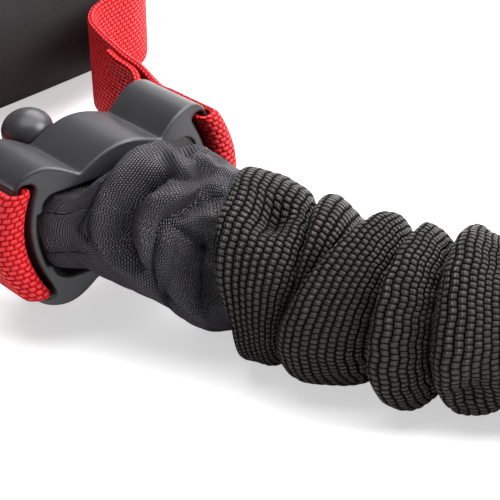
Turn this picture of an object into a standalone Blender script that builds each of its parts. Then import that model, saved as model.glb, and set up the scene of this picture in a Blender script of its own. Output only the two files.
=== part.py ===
"""Resistance tube with two strap handles, laid out in a loose U on a flat surface.

The tube is elastic latex inside a ruched textile sleeve. At each end a nylon cuff covers the joint
to a moulded connector, and a strap handle hangs on the connector. All sizes are in metres.
X runs from handle to handle, Y from the tube's bend to the grips, Z up. The origin is on the
surface, midway between the handles. Handle "a" is modelled, and handle "b" is its mirror image.
"""

import math

import bmesh
import bpy
import numpy as np
from mathutils import Matrix, Vector

# Clearances and layout
GAP = 0.0003                    # between pieces that touch
HANDLE_SPACING = 0.446          # between the centres of the two connectors
CONNECTOR_RISE = 0.025          # height of a connector's centre over the surface
CONNECTOR_LEAN = math.radians(12)   # its top leans towards the grip
TUBE_HEADING = math.radians(25)     # the tube leaves a connector this far off square

# Strap of the handle
STRAP_WIDTH = 0.025
STRAP_THICK = 0.0018

# Connector
CONNECTOR_DEPTH = 0.0214
CONNECTOR_SWEEP = 6.5           # how far the ends sweep back, per metre of width squared
EDGE_ROUND = 0.0004
LOBE_WALL = 0.0029              # over the strap's slot
LOBE_RISE = 0.0038              # of the end lobes over the valleys
MIDDLE_LOBE_RISE = 0.0034
VALLEY_OUT = 0.0102             # from the centre to a valley
LOBE_OUT = 0.0183               # from the centre to an end lobe's crest
TIP_OUT = 0.0244                # from the centre to an end lobe's tip
OPENING_WALL = 0.0026           # between the opening and a valley
OPENING_OUT = 0.0213            # half the opening's width
OPENING_ROUND = 0.0035
INNER_BAR = 0.0015
SLOT_WIDTH = 0.0035
SLOT_ROUND = 0.0009
SLOT_PLAY = 0.0008              # at each end of the slot, beyond the strap
OUTER_BAR = 0.0022
BOW_RADIUS = 0.025              # the bars bow outwards

# Toggle behind the connector
TOGGLE_RADIUS = 0.00575
TOGGLE_TOP = 0.0175             # over its middle, along its axis
TOGGLE_BASE = 0.0170
TOGGLE_WAIST = 0.0030
TOGGLE_SIDE = 0.0069            # its axis lies this far to the side of the connector's centre

# Anchor loop, plug and crimp ring
LOOP_WIDTH = 0.010
LOOP_THICK = 0.0012
EYE_BAR = 0.0016                # half the thickness of the bar that the loop goes round
EYE_ROUND = 0.0008
EYE_WALL = 0.0020
EYE_REACH = 0.068               # from the toggle's axis to the eye's bar
STEM_LENGTH = 0.014
CRIMP_WALL = 0.0012
CRIMP_LENGTH = 0.010

# Tube and sleeve
TUBE_RADIUS = 0.0060
TUBE_BORE = 0.0038
SLEEVE_RADIUS = 0.0189          # at the crests of the folds
SLEEVE_HEIGHT = 0.0182          # of its axis, so that the lowest folds lie flat
SLEEVE_BORE = 0.0113
FOLD_DEPTH = 0.0042
FOLD_PITCH = 0.0140
FOLD_TILT = 0.0026
MOUTH_REACH = 0.0493            # from the toggle's axis to the sleeve's mouth
SLEEVE_SIDES = 12

# Cuff
CUFF_THICK = 0.0009
CUFF_RADIUS = 0.0163            # where the sleeve's mouth holds it
CUFF_END = [(0.003, 0.0158), (0.011, 0.0126)]   # inside the sleeve: reach past the mouth, radius
CUFF_FOLD = 0.0009
CUFF_SIDES = 18

# Grip
GRIP_REACH = 0.080              # from the connector's centre back to the grip's axis
FOAM_RADIUS = 0.018
FOAM_LENGTH = 0.088
CORE_WALL = 0.0013
CORE_PLAY = 0.0004              # round the strap's corners
CAP_RADIUS = 0.0168
CAP_LENGTH = 0.006
CAP_SHOULDER = 0.002
GRIP_SIDES = 20

# Sizes that follow
SLOT_HALF = STRAP_WIDTH / 2 + SLOT_PLAY
LOBE_TOP = SLOT_HALF + LOBE_WALL
VALLEY_TOP = LOBE_TOP - LOBE_RISE
OPENING_HALF = VALLEY_TOP - OPENING_WALL
SLOT_IN = OPENING_OUT + INNER_BAR
SLOT_OUT = SLOT_IN + SLOT_WIDTH
END_OUT = SLOT_OUT + OUTER_BAR
TOGGLE_BACK = (
    CONNECTOR_DEPTH / 2 + CONNECTOR_SWEEP * (1.1 * TOGGLE_SIDE) ** 2 + GAP + TOGGLE_RADIUS
)
STRAP_TAIL = 0.45 * GRIP_REACH  # where the strap's sewn tail ends, behind the connector's centre
CORE_BORE = STRAP_WIDTH / 2 + CORE_PLAY
CORE_RADIUS = CORE_BORE + CORE_WALL
GRIP_HALF = FOAM_LENGTH / 2 + GAP + CAP_LENGTH

EYE_SLOT = 2 * (LOOP_THICK + GAP) + 0.0008      # along the tube, before the stem
EYE_HALF = LOOP_WIDTH / 2 + 0.0006
PLUG_HIGH = EYE_BAR + EYE_SLOT + EYE_WALL       # from the eye's bar to the stem
TUBE_START = EYE_REACH + PLUG_HIGH + GAP
STEM_RADIUS = TUBE_BORE - GAP
STEM_DIP = STEM_RADIUS - 0.0006                 # between the stem's barbs, and at its end

# All but the tube and sleeve stand with their middle over the origin
FRONT_REACH = (
    (EYE_REACH + PLUG_HIGH + STEM_LENGTH) * math.cos(TUBE_HEADING)
    + STEM_DIP * math.sin(TUBE_HEADING)
    - TOGGLE_BACK * math.cos(CONNECTOR_LEAN)
)
HANDLE_Y = (FRONT_REACH - GRIP_REACH - FOAM_RADIUS) / 2
HANDLE = Vector((-HANDLE_SPACING / 2, HANDLE_Y, 0))

# The sleeve's route from its mouth to the middle of the bend, from the point under the connector's
# centre. The first two points are straight ahead of the mouth, by one diameter.
ROUTE_ON = [
    (0.0410, -0.0742), (0.0495, -0.0802), (0.0590, -0.0888), (0.0685, -0.1003), (0.0770, -0.1155),
    (0.0840, -0.1350), (0.0893, -0.1585), (0.0925, -0.1850), (0.0938, -0.2130), (0.0943, -0.2420),
    (0.0984, -0.2714),
    (0.1113, -0.3025), (0.1318, -0.3292), (0.1585, -0.3497), (0.1896, -0.3626), (0.2230, -0.3670),
]

for leftover in list(bpy.data.objects):
    bpy.data.objects.remove(leftover)

product = bpy.data.collections.new("resistance_tube")
cutters = bpy.data.collections.new("cutters")
bpy.context.scene.collection.children.link(product)
bpy.context.scene.collection.children.link(cutters)
cutters.hide_render = True

MIRROR = Matrix.Scale(-1, 4, (1, 0, 0))


def make_material(name, colour, roughness, metallic=0.0):
    material = bpy.data.materials.new(name)
    material.use_nodes = True
    shader = material.node_tree.nodes["Principled BSDF"]
    shader.inputs["Base Color"].default_value = (*colour, 1)
    shader.inputs["Roughness"].default_value = roughness
    shader.inputs["Metallic"].default_value = metallic
    material.diffuse_color = (*colour, 1)
    return material


PLASTIC = make_material("soft_touch_plastic", (0.055, 0.052, 0.055), 0.55)
HARD_PLASTIC = make_material("hard_plastic", (0.030, 0.030, 0.032), 0.40)
RED_WEBBING = make_material("red_webbing", (0.760, 0.030, 0.040), 0.80)
BLACK_WEBBING = make_material("black_webbing", (0.020, 0.020, 0.022), 0.80)
NYLON = make_material("black_nylon", (0.030, 0.028, 0.032), 0.60)
TEXTILE = make_material("ruched_textile", (0.025, 0.022, 0.022), 0.90)
LATEX = make_material("latex", (0.620, 0.480, 0.300), 0.45)
STEEL = make_material("steel", (0.560, 0.560, 0.570), 0.30, 1.0)
FOAM = make_material("foam", (0.035, 0.030, 0.033), 0.90)


def add_object(name, mesh, material):
    piece = bpy.data.objects.new(name, mesh)
    product.objects.link(piece)
    mesh.materials.clear()
    mesh.materials.append(material)
    mesh.shade_smooth()
    mesh.set_sharp_from_angle(angle=math.radians(35))
    return piece


def baked(piece, name):
    """The mesh that an object's curve or modifiers give, with doubles welded."""
    bpy.context.view_layer.update()
    graph = bpy.context.evaluated_depsgraph_get()
    mesh = bpy.data.meshes.new_from_object(piece.evaluated_get(graph))
    mesh.name = name
    work = bmesh.new()
    work.from_mesh(mesh)
    bmesh.ops.remove_doubles(work, verts=work.verts, dist=1e-6)
    bmesh.ops.recalc_face_normals(work, faces=work.faces)
    work.to_mesh(mesh)
    work.free()
    return mesh


def mesh_from(work, name):
    bmesh.ops.recalc_face_normals(work, faces=work.faces)
    mesh = bpy.data.meshes.new(name)
    work.to_mesh(mesh)
    work.free()
    return mesh


def flat_plate(name, outlines, thickness, edge_round, round_steps=1):
    """A filled 2D curve, thick along its local Z. The first outline is the outer one."""
    curve = bpy.data.curves.new(name, "CURVE")
    curve.dimensions = "2D"
    curve.fill_mode = "BOTH"
    curve.extrude = thickness / 2 - edge_round
    curve.bevel_depth = edge_round
    curve.bevel_resolution = round_steps
    curve.offset = -edge_round
    for outline in outlines:
        spline = curve.splines.new("POLY")
        spline.points.add(len(outline) - 1)
        for point, (across, up) in zip(spline.points, outline):
            point.co = (across, up, 0, 1)
        spline.use_cyclic_u = True
    guide = bpy.data.objects.new(name + "_guide", curve)
    cutters.objects.link(guide)
    mesh = baked(guide, name)
    bpy.data.objects.remove(guide)
    return mesh


def turned(name, profile, sides, closed=False):
    """A profile of (radius, height) points, top to bottom on its outer side, turned about Z."""
    work = bmesh.new()
    points = [work.verts.new((radius, 0, height)) for radius, height in profile]
    for start, end in zip(points, points[1:]):
        work.edges.new((start, end))
    if closed:
        work.edges.new((points[-1], points[0]))
    mesh = bpy.data.meshes.new(name)
    work.to_mesh(mesh)
    work.free()
    guide = bpy.data.objects.new(name + "_guide", mesh)
    cutters.objects.link(guide)
    screw = guide.modifiers.new("turn", "SCREW")
    screw.steps = screw.render_steps = sides
    screw.use_merge_vertices = True
    screw.merge_threshold = 0.00001
    solid = baked(guide, name)
    bpy.data.objects.remove(guide)
    return solid


def loft(name, rings, closed=True):
    """Rings of equal count joined in order. A closed one joins its last ring to its first."""
    work = bmesh.new()
    loops = [[work.verts.new(point) for point in ring] for ring in rings]
    count = len(loops[0])
    pairs = list(zip(loops, loops[1:]))
    if closed:
        pairs.append((loops[-1], loops[0]))
    for first, second in pairs:
        for i in range(count):
            j = (i + 1) % count
            work.faces.new((first[i], first[j], second[j], second[i]))
    return mesh_from(work, name)


def ribbon(name, rows, thickness, cyclic=False):
    """An open sheet from rows of points across a strap, given its thickness by Solidify."""
    work = bmesh.new()
    grid = [[work.verts.new(point) for point in row] for row in rows]
    pairs = list(zip(grid, grid[1:]))
    if cyclic:
        pairs.append((grid[-1], grid[0]))
    for first, second in pairs:
        for i in range(len(first) - 1):
            work.faces.new((first[i], first[i + 1], second[i + 1], second[i]))
    mesh = mesh_from(work, name)
    guide = bpy.data.objects.new(name + "_guide", mesh)
    cutters.objects.link(guide)
    wall = guide.modifiers.new("wall", "SOLIDIFY")
    wall.thickness = thickness
    wall.offset = 0
    wall.use_even_offset = True
    solid = baked(guide, name)
    bpy.data.objects.remove(guide)
    return solid


def united(name, meshes):
    """One solid from meshes that overlap."""
    helpers = []
    for i, mesh in enumerate(meshes):
        helper = bpy.data.objects.new(f"{name}_part_{i}", mesh)
        helper.display_type = "WIRE"
        helper.hide_render = True
        cutters.objects.link(helper)
        helpers.append(helper)
    for helper in helpers[1:]:
        join = helpers[0].modifiers.new("join", "BOOLEAN")
        join.operation = "UNION"
        join.object = helper
    solid = baked(helpers[0], name)
    for helper in helpers:
        bpy.data.objects.remove(helper)
    return solid


def curve_through(points, step):
    """Evenly spaced points on a smooth curve through the given ones, with its two ends kept.

    A fourth number of a point is carried along and has no part in the spacing.
    """
    knots = [Vector(point) for point in points]
    knots = [2 * knots[0] - knots[1], *knots, 2 * knots[-1] - knots[-2]]
    dense = []
    for before, start, end, after in zip(knots, knots[1:], knots[2:], knots[3:]):
        for part in range(24):
            t = part / 24
            dense.append(
                0.5 * (2 * start + (end - before) * t
                       + (2 * before - 5 * start + 4 * end - after) * t ** 2
                       + (3 * start - before - 3 * end + after) * t ** 3)
            )
    dense.append(knots[-2])
    lengths = [0.0]
    for start, end in zip(dense, dense[1:]):
        lengths.append(lengths[-1] + (end - start).to_3d().length)
    count = max(2, round(lengths[-1] / step))
    wanted = np.linspace(0, lengths[-1], count + 1)
    table = np.array(dense)
    return [
        Vector([float(np.interp(place, lengths, table[:, axis])) for axis in range(table.shape[1])])
        for place in wanted
    ]


def tube_rings(centres, radii, sides):
    """Rings square to a route. radii gives each ring's radius, or a function of the angle."""
    rings = []
    for i, centre in enumerate(centres):
        ahead = centres[min(i + 1, len(centres) - 1)] - centres[max(i - 1, 0)]
        ahead.normalize()
        side = ahead.cross(Vector((0, 0, 1))).normalized()
        up = side.cross(ahead)
        ring = []
        for j in range(sides):
            angle = 2 * math.pi * j / sides
            radius, along = radii(i, angle)
            spoke = math.cos(angle) * side + math.sin(angle) * up
            ring.append(centre + radius * spoke + along * ahead)
        rings.append(ring)
    return rings


def from_connector(across, back, up):
    """A point of the leaning connector's own frame, in the world."""
    return HANDLE + Vector((
        across,
        back * math.cos(CONNECTOR_LEAN) + up * math.sin(CONNECTOR_LEAN),
        CONNECTOR_RISE - back * math.sin(CONNECTOR_LEAN) + up * math.cos(CONNECTOR_LEAN),
    ))


def sweep(across):
    """How far back the connector's plan curve lies at a distance from its centre."""
    return CONNECTOR_SWEEP * min(abs(across), END_OUT) ** 2


def bow(height):
    return height ** 2 / (2 * BOW_RADIUS)


TOGGLE_POINT = from_connector(-TOGGLE_SIDE, TOGGLE_BACK, 0)
HEADING = Vector((math.sin(TUBE_HEADING), -math.cos(TUBE_HEADING), 0))


def ahead_of_toggle(reach, height):
    """A point on the tube's line, at a distance from the toggle's axis and a height."""
    place = TOGGLE_POINT + reach * HEADING
    return Vector((place.x, place.y, height))


def plane_height(reach):
    """The height of the connector's middle plane on the tube's line."""
    return TOGGLE_POINT.z + reach * math.cos(TUBE_HEADING) * math.tan(CONNECTOR_LEAN)


def sleeve_route():
    """The whole route: from one mouth round the bend to the other."""
    near = [
        ahead_of_toggle(MOUTH_REACH, SLEEVE_HEIGHT),
        ahead_of_toggle(MOUTH_REACH + SLEEVE_RADIUS, SLEEVE_HEIGHT),
        ahead_of_toggle(MOUTH_REACH + 2 * SLEEVE_RADIUS, SLEEVE_HEIGHT),
    ]
    on = [HANDLE + Vector((x * HANDLE_SPACING / 0.446, y, SLEEVE_HEIGHT)) for x, y in ROUTE_ON]
    half = near + on
    return half + [Vector((-point.x, point.y, point.z)) for point in reversed(half[:-1])]


# Connector

def lobe_height(across):
    """The wavy top's height: a middle lobe, two valleys and two end lobes."""
    out = abs(across)
    if out < VALLEY_OUT:
        return VALLEY_TOP + MIDDLE_LOBE_RISE * math.cos(math.pi / 2 * out / VALLEY_OUT)
    if out < LOBE_OUT:
        reach = LOBE_OUT - VALLEY_OUT
        return VALLEY_TOP + LOBE_RISE * math.cos(math.pi / 2 * (LOBE_OUT - out) / reach)
    reach = TIP_OUT - LOBE_OUT
    # the outer half of an end lobe is fuller
    return VALLEY_TOP + LOBE_RISE * max(0.0, math.cos(math.pi / 2 * (out - LOBE_OUT) / reach)) ** 0.5


def connector_outline():
    tops = [x * TIP_OUT for x in np.linspace(1, -1, 33)]
    top = [(x, lobe_height(x)) for x in tops]
    # the valleys are filleted: the point at each valley lifts a little
    top = [(x, z + 0.00035 * max(0.0, 1 - abs(abs(x) - VALLEY_OUT) / 0.0013)) for x, z in top]
    end_heights = [VALLEY_TOP * f for f in (0.8, 0.5, 0.17, -0.17, -0.5, -0.8)]
    left = [(-(END_OUT - (END_OUT - TIP_OUT) * (z / VALLEY_TOP) ** 2), z) for z in end_heights]
    bottom = [(x, -z) for x, z in reversed(top)]
    right = [(-x, z) for x, z in reversed(left)]
    return top + left + bottom + right


def arc_corner(centre, radius, start, steps=3):
    """Points of a quarter circle, which runs anticlockwise from an angle."""
    angles = [start + math.pi / 2 * i / steps for i in range(steps + 1)]
    return [(centre[0] + radius * math.cos(a), centre[1] + radius * math.sin(a)) for a in angles]


def bowed_slot(inner, outer, half, rounding):
    """A slot between two bowed edges, to the right of the centre."""
    low_out = outer - bow(half - rounding)
    low_in = inner - bow(half - rounding)
    steps = [half * f for f in (-0.66, -0.33, 0, 0.33, 0.66)]
    points = arc_corner((low_in + rounding, -half + rounding), rounding, math.pi, 2)
    points += arc_corner((low_out - rounding, -half + rounding), rounding, -math.pi / 2, 2)
    points += [(outer - bow(z), z) for z in steps]
    points += arc_corner((low_out - rounding, half - rounding), rounding, 0, 2)
    points += arc_corner((low_in + rounding, half - rounding), rounding, math.pi / 2, 2)
    points += [(inner - bow(z), z) for z in reversed(steps)]
    return points


def opening_outline():
    half = OPENING_HALF
    edge = OPENING_OUT - bow(half)
    corner = (edge - OPENING_ROUND, half - OPENING_ROUND)
    steps = [half * f for f in (-0.5, -0.2, 0.2, 0.5)]
    right = arc_corner((corner[0], -corner[1]), OPENING_ROUND, -math.pi / 2)
    right += [(OPENING_OUT - bow(z), z) for z in steps]
    right += arc_corner(corner, OPENING_ROUND, 0)
    left = [(-x, -z) for x, z in right]
    middle = [(x, half) for x in (corner[0] / 2, 0, -corner[0] / 2)]
    return right + middle + left + [(-x, -z) for x, z in middle]


def make_connector():
    slot = bowed_slot(SLOT_IN, SLOT_OUT, SLOT_HALF, SLOT_ROUND)
    other_slot = [(-x, z) for x, z in slot]
    outlines = [connector_outline(), opening_outline(), slot, other_slot]
    mesh = flat_plate("connector_a", outlines, CONNECTOR_DEPTH, EDGE_ROUND, 0)
    # cuts across the flat faces let them follow the plan curve
    work = bmesh.new()
    work.from_mesh(mesh)
    for across in np.linspace(-0.018, 0.018, 7):
        geometry = work.verts[:] + work.edges[:] + work.faces[:]
        bmesh.ops.bisect_plane(
            work, geom=geometry, dist=1e-5, plane_co=(across, 0, 0), plane_no=(1, 0, 0),
        )
    work.to_mesh(mesh)
    work.free()
    for vertex in mesh.vertices:
        across, up, forward = vertex.co
        vertex.co = from_connector(across, sweep(across) - forward, up)
    return add_object("connector_a", mesh, PLASTIC)


# Toggle, anchor loop, plug and crimp ring

def make_toggle():
    neck = LOOP_WIDTH / 2 + 0.0015
    shoulder = neck + 0.002
    steps = 4
    dome = [
        (TOGGLE_RADIUS * math.sin(a), TOGGLE_TOP - TOGGLE_RADIUS * 0.8 * (1 - math.cos(a)))
        for a in [math.pi / 2 * i / steps for i in range(steps + 1)]
    ]
    profile = dome + [(TOGGLE_RADIUS, shoulder), (TOGGLE_WAIST, neck), (TOGGLE_WAIST, -neck)]
    profile += [(TOGGLE_RADIUS, -shoulder)]
    profile += [(x, -TOGGLE_BASE + TOGGLE_TOP - z) for x, z in reversed(dome)]
    mesh = turned("toggle_a", profile, 18)
    toggle = add_object("toggle_a", mesh, PLASTIC)
    toggle.location = TOGGLE_POINT
    toggle.rotation_euler = (-CONNECTOR_LEAN, 0, 0)
    return toggle


def loop_line():
    """The anchor loop's middle line, from the toggle's axis to the eye's bar: x, y, z and lean."""
    inside = 0.034              # it stays in the connector's plane up to here
    stations = [
        (0, plane_height(0), 1), (inside / 2, plane_height(inside / 2), 1),
        (inside, plane_height(inside) - 0.0006, 1), (0.0385, 0.0266, 0.7), (0.043, 0.0250, 0.4),
        (0.052, 0.0214, 0.1), (0.060, SLEEVE_HEIGHT + 0.0009, 0), (EYE_REACH, SLEEVE_HEIGHT, 0),
    ]
    return [(ahead_of_toggle(reach, height), lean) for reach, height, lean in stations]


def make_anchor_loop():
    line = [(*place, lean) for place, lean in loop_line()]
    centres = curve_through(line, 0.005)
    side = HEADING.cross(Vector((0, 0, 1))).normalized()
    at_toggle = TOGGLE_WAIST + GAP + LOOP_THICK / 2
    at_eye = 1.15 * EYE_BAR + GAP + LOOP_THICK / 2
    last = len(centres) - 1
    left, right = [], []
    for i, centre in enumerate(centres):
        apart = at_toggle + (at_eye - at_toggle) * i / last
        place = Vector(centre[:3])
        left.append((place - apart * side, centre[3]))
        right.append((place + apart * side, centre[3]))

    def half_turn(middle, lean, radius, outward, start):
        turn = []
        for i in range(1, 6):
            angle = math.pi * i / 6
            spoke = start * math.cos(angle) * side + math.sin(angle) * outward
            turn.append((middle + radius * spoke, lean))
        return turn

    eye, toggle = Vector(centres[-1][:3]), Vector(centres[0][:3])
    outline = left + half_turn(eye, 0, at_eye, HEADING, -1) + right[::-1]
    outline += half_turn(toggle, 1, at_toggle, -HEADING, 1)
    rows = []
    for place, lean in outline:
        up = Vector((0, math.sin(lean * CONNECTOR_LEAN), math.cos(lean * CONNECTOR_LEAN)))
        rows.append([place - LOOP_WIDTH / 2 * up, place + LOOP_WIDTH / 2 * up])
    return add_object("anchor_loop_a", ribbon("anchor_loop_a", rows, LOOP_THICK, True), BLACK_WEBBING)


def make_plug():
    """An eye frame with a barbed stem. Its local Z runs into the tube, from the eye's bar."""
    rim = EYE_HALF + EYE_WALL
    low, high = -EYE_BAR, PLUG_HIGH
    corner = 0.001
    outer = arc_corner((rim - corner, low + corner), corner, -math.pi / 2)
    outer += arc_corner((rim - corner, high - corner), corner, 0)
    outer += arc_corner((-rim + corner, high - corner), corner, math.pi / 2)
    outer += arc_corner((-rim + corner, low + corner), corner, math.pi)
    slot = [(EYE_HALF, EYE_BAR), (EYE_HALF, EYE_BAR + EYE_SLOT)]
    slot += [(-EYE_HALF, EYE_BAR + EYE_SLOT), (-EYE_HALF, EYE_BAR)]
    frame = flat_plate("plug_eye", [outer, slot], 2 * EYE_BAR, EYE_ROUND, 0)
    frame.transform(Matrix.Rotation(math.pi / 2, 4, "X"))
    top = high + STEM_LENGTH
    profile = [(0, top), (STEM_DIP, top)]
    for i in range(3):
        base = top - (i + 1) * 0.004
        profile += [(STEM_RADIUS, base + 0.0008), (STEM_DIP, base)]
    profile += [(STEM_RADIUS, high - 0.0006), (0, high - 0.0006)]
    stem = turned("plug_stem", profile, 14)
    return united("tube_plug_a", [frame, stem])


def lay_along_tube(piece, reach):
    """Puts a piece whose local Z is the tube's axis and local X is upright on the tube's line."""
    x_axis = Vector((0, 0, 1))
    z_axis = HEADING
    y_axis = z_axis.cross(x_axis)
    turn = Matrix((x_axis, y_axis, z_axis)).transposed().to_4x4()
    piece.matrix_world = Matrix.Translation(ahead_of_toggle(reach, SLEEVE_HEIGHT)) @ turn


def make_crimp():
    bore = TUBE_RADIUS + GAP
    outer = bore + CRIMP_WALL
    waist = outer - 0.0004
    half = CRIMP_LENGTH / 2
    profile = [
        (bore, half), (outer, half), (outer, half * 0.4), (waist, 0), (outer, -half * 0.4),
        (outer, -half), (bore, -half),
    ]
    return turned("crimp_ring_a", profile, 16, closed=True)


# Latex tube and ruched sleeve

def make_latex_tube():
    route = sleeve_route()
    start = ahead_of_toggle(TUBE_START, SLEEVE_HEIGHT)
    # straight over the plug's stem, and a little beyond it
    past_stem = TUBE_START + STEM_LENGTH + 0.001
    straight, onward = (ahead_of_toggle(past_stem + more, SLEEVE_HEIGHT) for more in (0, 0.005))
    ends = [Vector((-point.x, point.y, point.z)) for point in (onward, straight, start)]
    centres = [start, straight, *curve_through([onward, *route[3:-3], ends[0]], 0.030), *ends[1:]]
    solids = []
    for radius in (TUBE_RADIUS, TUBE_BORE):
        curve = bpy.data.curves.new("latex_line", "CURVE")
        curve.dimensions = "3D"
        curve.bevel_depth = radius
        curve.bevel_resolution = 2
        curve.use_fill_caps = True
        spline = curve.splines.new("POLY")
        line = list(centres)
        if radius == TUBE_BORE:
            line[0] = line[0] - 0.002 * (line[1] - line[0]).normalized()
            line[-1] = line[-1] - 0.002 * (line[-2] - line[-1]).normalized()
        spline.points.add(len(line) - 1)
        for point, place in zip(spline.points, line):
            point.co = (*place, 1)
        guide = bpy.data.objects.new("latex_guide", curve)
        cutters.objects.link(guide)
        solids.append(baked(guide, "latex_part"))
        bpy.data.objects.remove(guide)
    bore = bpy.data.objects.new("latex_bore", solids[1])
    bore.display_type = "WIRE"
    bore.hide_render = True
    cutters.objects.link(bore)
    tube = add_object("latex_tube", solids[0], LATEX)
    cut = tube.modifiers.new("bore", "BOOLEAN")
    cut.operation = "DIFFERENCE"
    cut.object = bore
    return tube


def scatter(index, seed):
    """An even, repeatable scatter between -1 and 1."""
    return 2 * math.fmod(abs(math.sin(index * 12.9898 + seed * 78.233)) * 43758.5453, 1) - 1


def make_sleeve():
    route = curve_through(sleeve_route(), 0.002)
    total = 0.002 * (len(route) - 1)
    folds = round(total / FOLD_PITCH)
    # each fold is a valley and a crest nearer to its front
    shape = [(0.0, 0.0), (0.45, 1.0)]
    table = np.array(route)
    places = np.linspace(0, total, len(route))

    def at(distance):
        return Vector([float(np.interp(distance, places, table[:, axis])) for axis in range(3)])

    rings = []
    for fold in range(folds):
        for part, swell in shape:
            if fold == 0 and part == 0:
                continue
            jitter = 0.16 * scatter(fold, 1) if part == 0 else 0.10 * scatter(fold, 2 + part)
            place = (fold + part + jitter) / folds * total
            tilt = FOLD_TILT * (0.5 + 0.5 * abs(scatter(fold, 3)))
            turn = math.pi * scatter(fold, 4)
            size = SLEEVE_RADIUS - FOLD_DEPTH * (1 - swell) - 0.0007 * (1 + scatter(fold, 5)) * swell
            rings.append((place, size, tilt, turn))
    end_size = SLEEVE_RADIUS - 0.0002
    mouth = 0.0
    rings.insert(0, (mouth, end_size, 0.0, 0.0))
    rings.append((total, end_size, 0.0, 0.0))
    edge = SLEEVE_RADIUS
    rings = [
        (place, size, tilt * min(1, place / edge, (total - place) / edge), turn)
        for place, size, tilt, turn in rings
    ]
    centres = [at(place) for place, _, _, _ in rings]

    def outer(i, angle):
        _, size, tilt, turn = rings[i]
        oval = 0.0004 * math.cos(2 * angle + 3 * turn) if 0 < i < len(rings) - 1 else 0
        return size + oval, tilt * math.cos(angle - turn)

    # the bore fits the cuff at each mouth, then narrows
    round_cuff = math.cos(math.pi / SLEEVE_SIDES)
    bore_places = [0.0, *(reach for reach, _ in CUFF_END), 0.018]
    bore_sizes = [(size + GAP) / round_cuff for size in (CUFF_RADIUS, *(r for _, r in CUFF_END))]
    bore_sizes.append(SLEEVE_BORE)
    inner = list(np.linspace(0.034, total - 0.034, 26))
    bore_places = bore_places + inner + [total - place for place in reversed(bore_places)]
    bore_sizes = bore_sizes + [SLEEVE_BORE] * len(inner) + bore_sizes[::-1]
    bore_centres = [at(place) for place in bore_places]
    outside = tube_rings(centres, outer, SLEEVE_SIDES)
    inside = tube_rings(bore_centres, lambda i, angle: (bore_sizes[i], 0), SLEEVE_SIDES)
    mesh = loft("ruched_sleeve", outside + inside[::-1])
    # the lowest folds are pressed flat on the surface
    for vertex in mesh.vertices:
        vertex.co.z = max(vertex.co.z, 0)
    return add_object("ruched_sleeve", mesh, TEXTILE)


# Cuff

def make_cuff():
    """Nylon from inside the connector's opening to inside the sleeve's mouth."""
    mouth, deep, out, flat = CUFF_RADIUS, CONNECTOR_DEPTH / 2, OPENING_OUT, OPENING_HALF - 0.0006
    stations = [            # across, back, drop, half width, half height, turn, lean, fold, squareness
        (-0.155 * out, 0.85 * deep, 0, 0.277 * out, flat - 0.0004, 1, 1, 0, 1),
        (-0.094 * out, 0.20 * deep, 0, 0.516 * out, flat - 0.0002, 0.6, 1, 0, 1),
        (-0.131 * out, -0.37 * deep, 0, 0.732 * out, flat - 0.0001, 0.2, 1, 0, 0.9),
        (-0.150 * out, -0.72 * deep, 0, 0.770 * out, flat, 0, 1, 0, 0.8),
        (-0.075 * out, -1.05 * deep - GAP, 0, 0.732 * out, flat + 0.0001, 0.05, 1, 0, 0.6),
        (-0.047 * out, -1.12 * deep - GAP, 0.0003, 0.723 * out, 1.29 * flat, 0.15, 0.8, 0, 0.4),
        (0.082 * out, -1.29 * deep, 0.0010, 0.96 * mouth, 0.91 * mouth, 0.4, 0.6, 0.4, 0.1),
        (0.220 * out, -1.62 * deep, 0.0030, 0.99 * mouth, 0.98 * mouth, 0.65, 0.4, 0.9, 0),
        (0.376 * out, -2.14 * deep, 0.0051, 1.03 * mouth, 1.03 * mouth, 0.9, 0.2, 0.7, 0),
    ]
    rings = []
    for across, back, drop, *shape in stations:
        rings.append((from_connector(across, back, 0) - Vector((0, 0, drop)), *shape))
    near = ahead_of_toggle(MOUTH_REACH - 0.0055, SLEEVE_HEIGHT + 0.0020)
    rings.append((near, 1.03 * mouth, 1.03 * mouth, 1, 0, 0.2, 0))
    for past, radius in [(0, mouth), *CUFF_END]:
        rings.append((ahead_of_toggle(MOUTH_REACH + past, SLEEVE_HEIGHT), radius, radius, 1, 0, 0, 0))
    outside = []
    for i, (centre, wide, tall, turn, lean, fold, square) in enumerate(rings):
        heading = turn * TUBE_HEADING
        side = Vector((-math.cos(heading), -math.sin(heading), 0))
        up = Vector((0, math.sin(lean * CONNECTOR_LEAN), math.cos(lean * CONNECTOR_LEAN)))
        power = 1 - 0.5 * square
        ring = []
        for j in range(CUFF_SIDES):
            angle = 2 * math.pi * j / CUFF_SIDES
            wave = CUFF_FOLD * fold * math.cos(5 * angle + 0.9 * i)
            round_part = [
                math.copysign(abs(part) ** power, part) for part in (math.cos(angle), math.sin(angle))
            ]
            across = (wide + wave) * round_part[0]
            rise = (tall + 0.5 * wave) * round_part[1]
            ring.append(centre + across * side + rise * up)
        outside.append(ring)
    # the lining lies under the outside by the cloth's thickness, square to its surface
    inside = []
    for i, ring in enumerate(outside):
        before, after = outside[max(i - 1, 0)], outside[min(i + 1, len(outside) - 1)]
        lining = []
        for j, point in enumerate(ring):
            along = after[j] - before[j]
            around = ring[(j + 1) % CUFF_SIDES] - ring[j - 1]
            lining.append(point - CUFF_THICK * along.cross(around).normalized())
        inside.append(lining)
    return add_object("cuff_a", loft("cuff_a", outside + inside[::-1]), NYLON)


# Strap and grip

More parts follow.
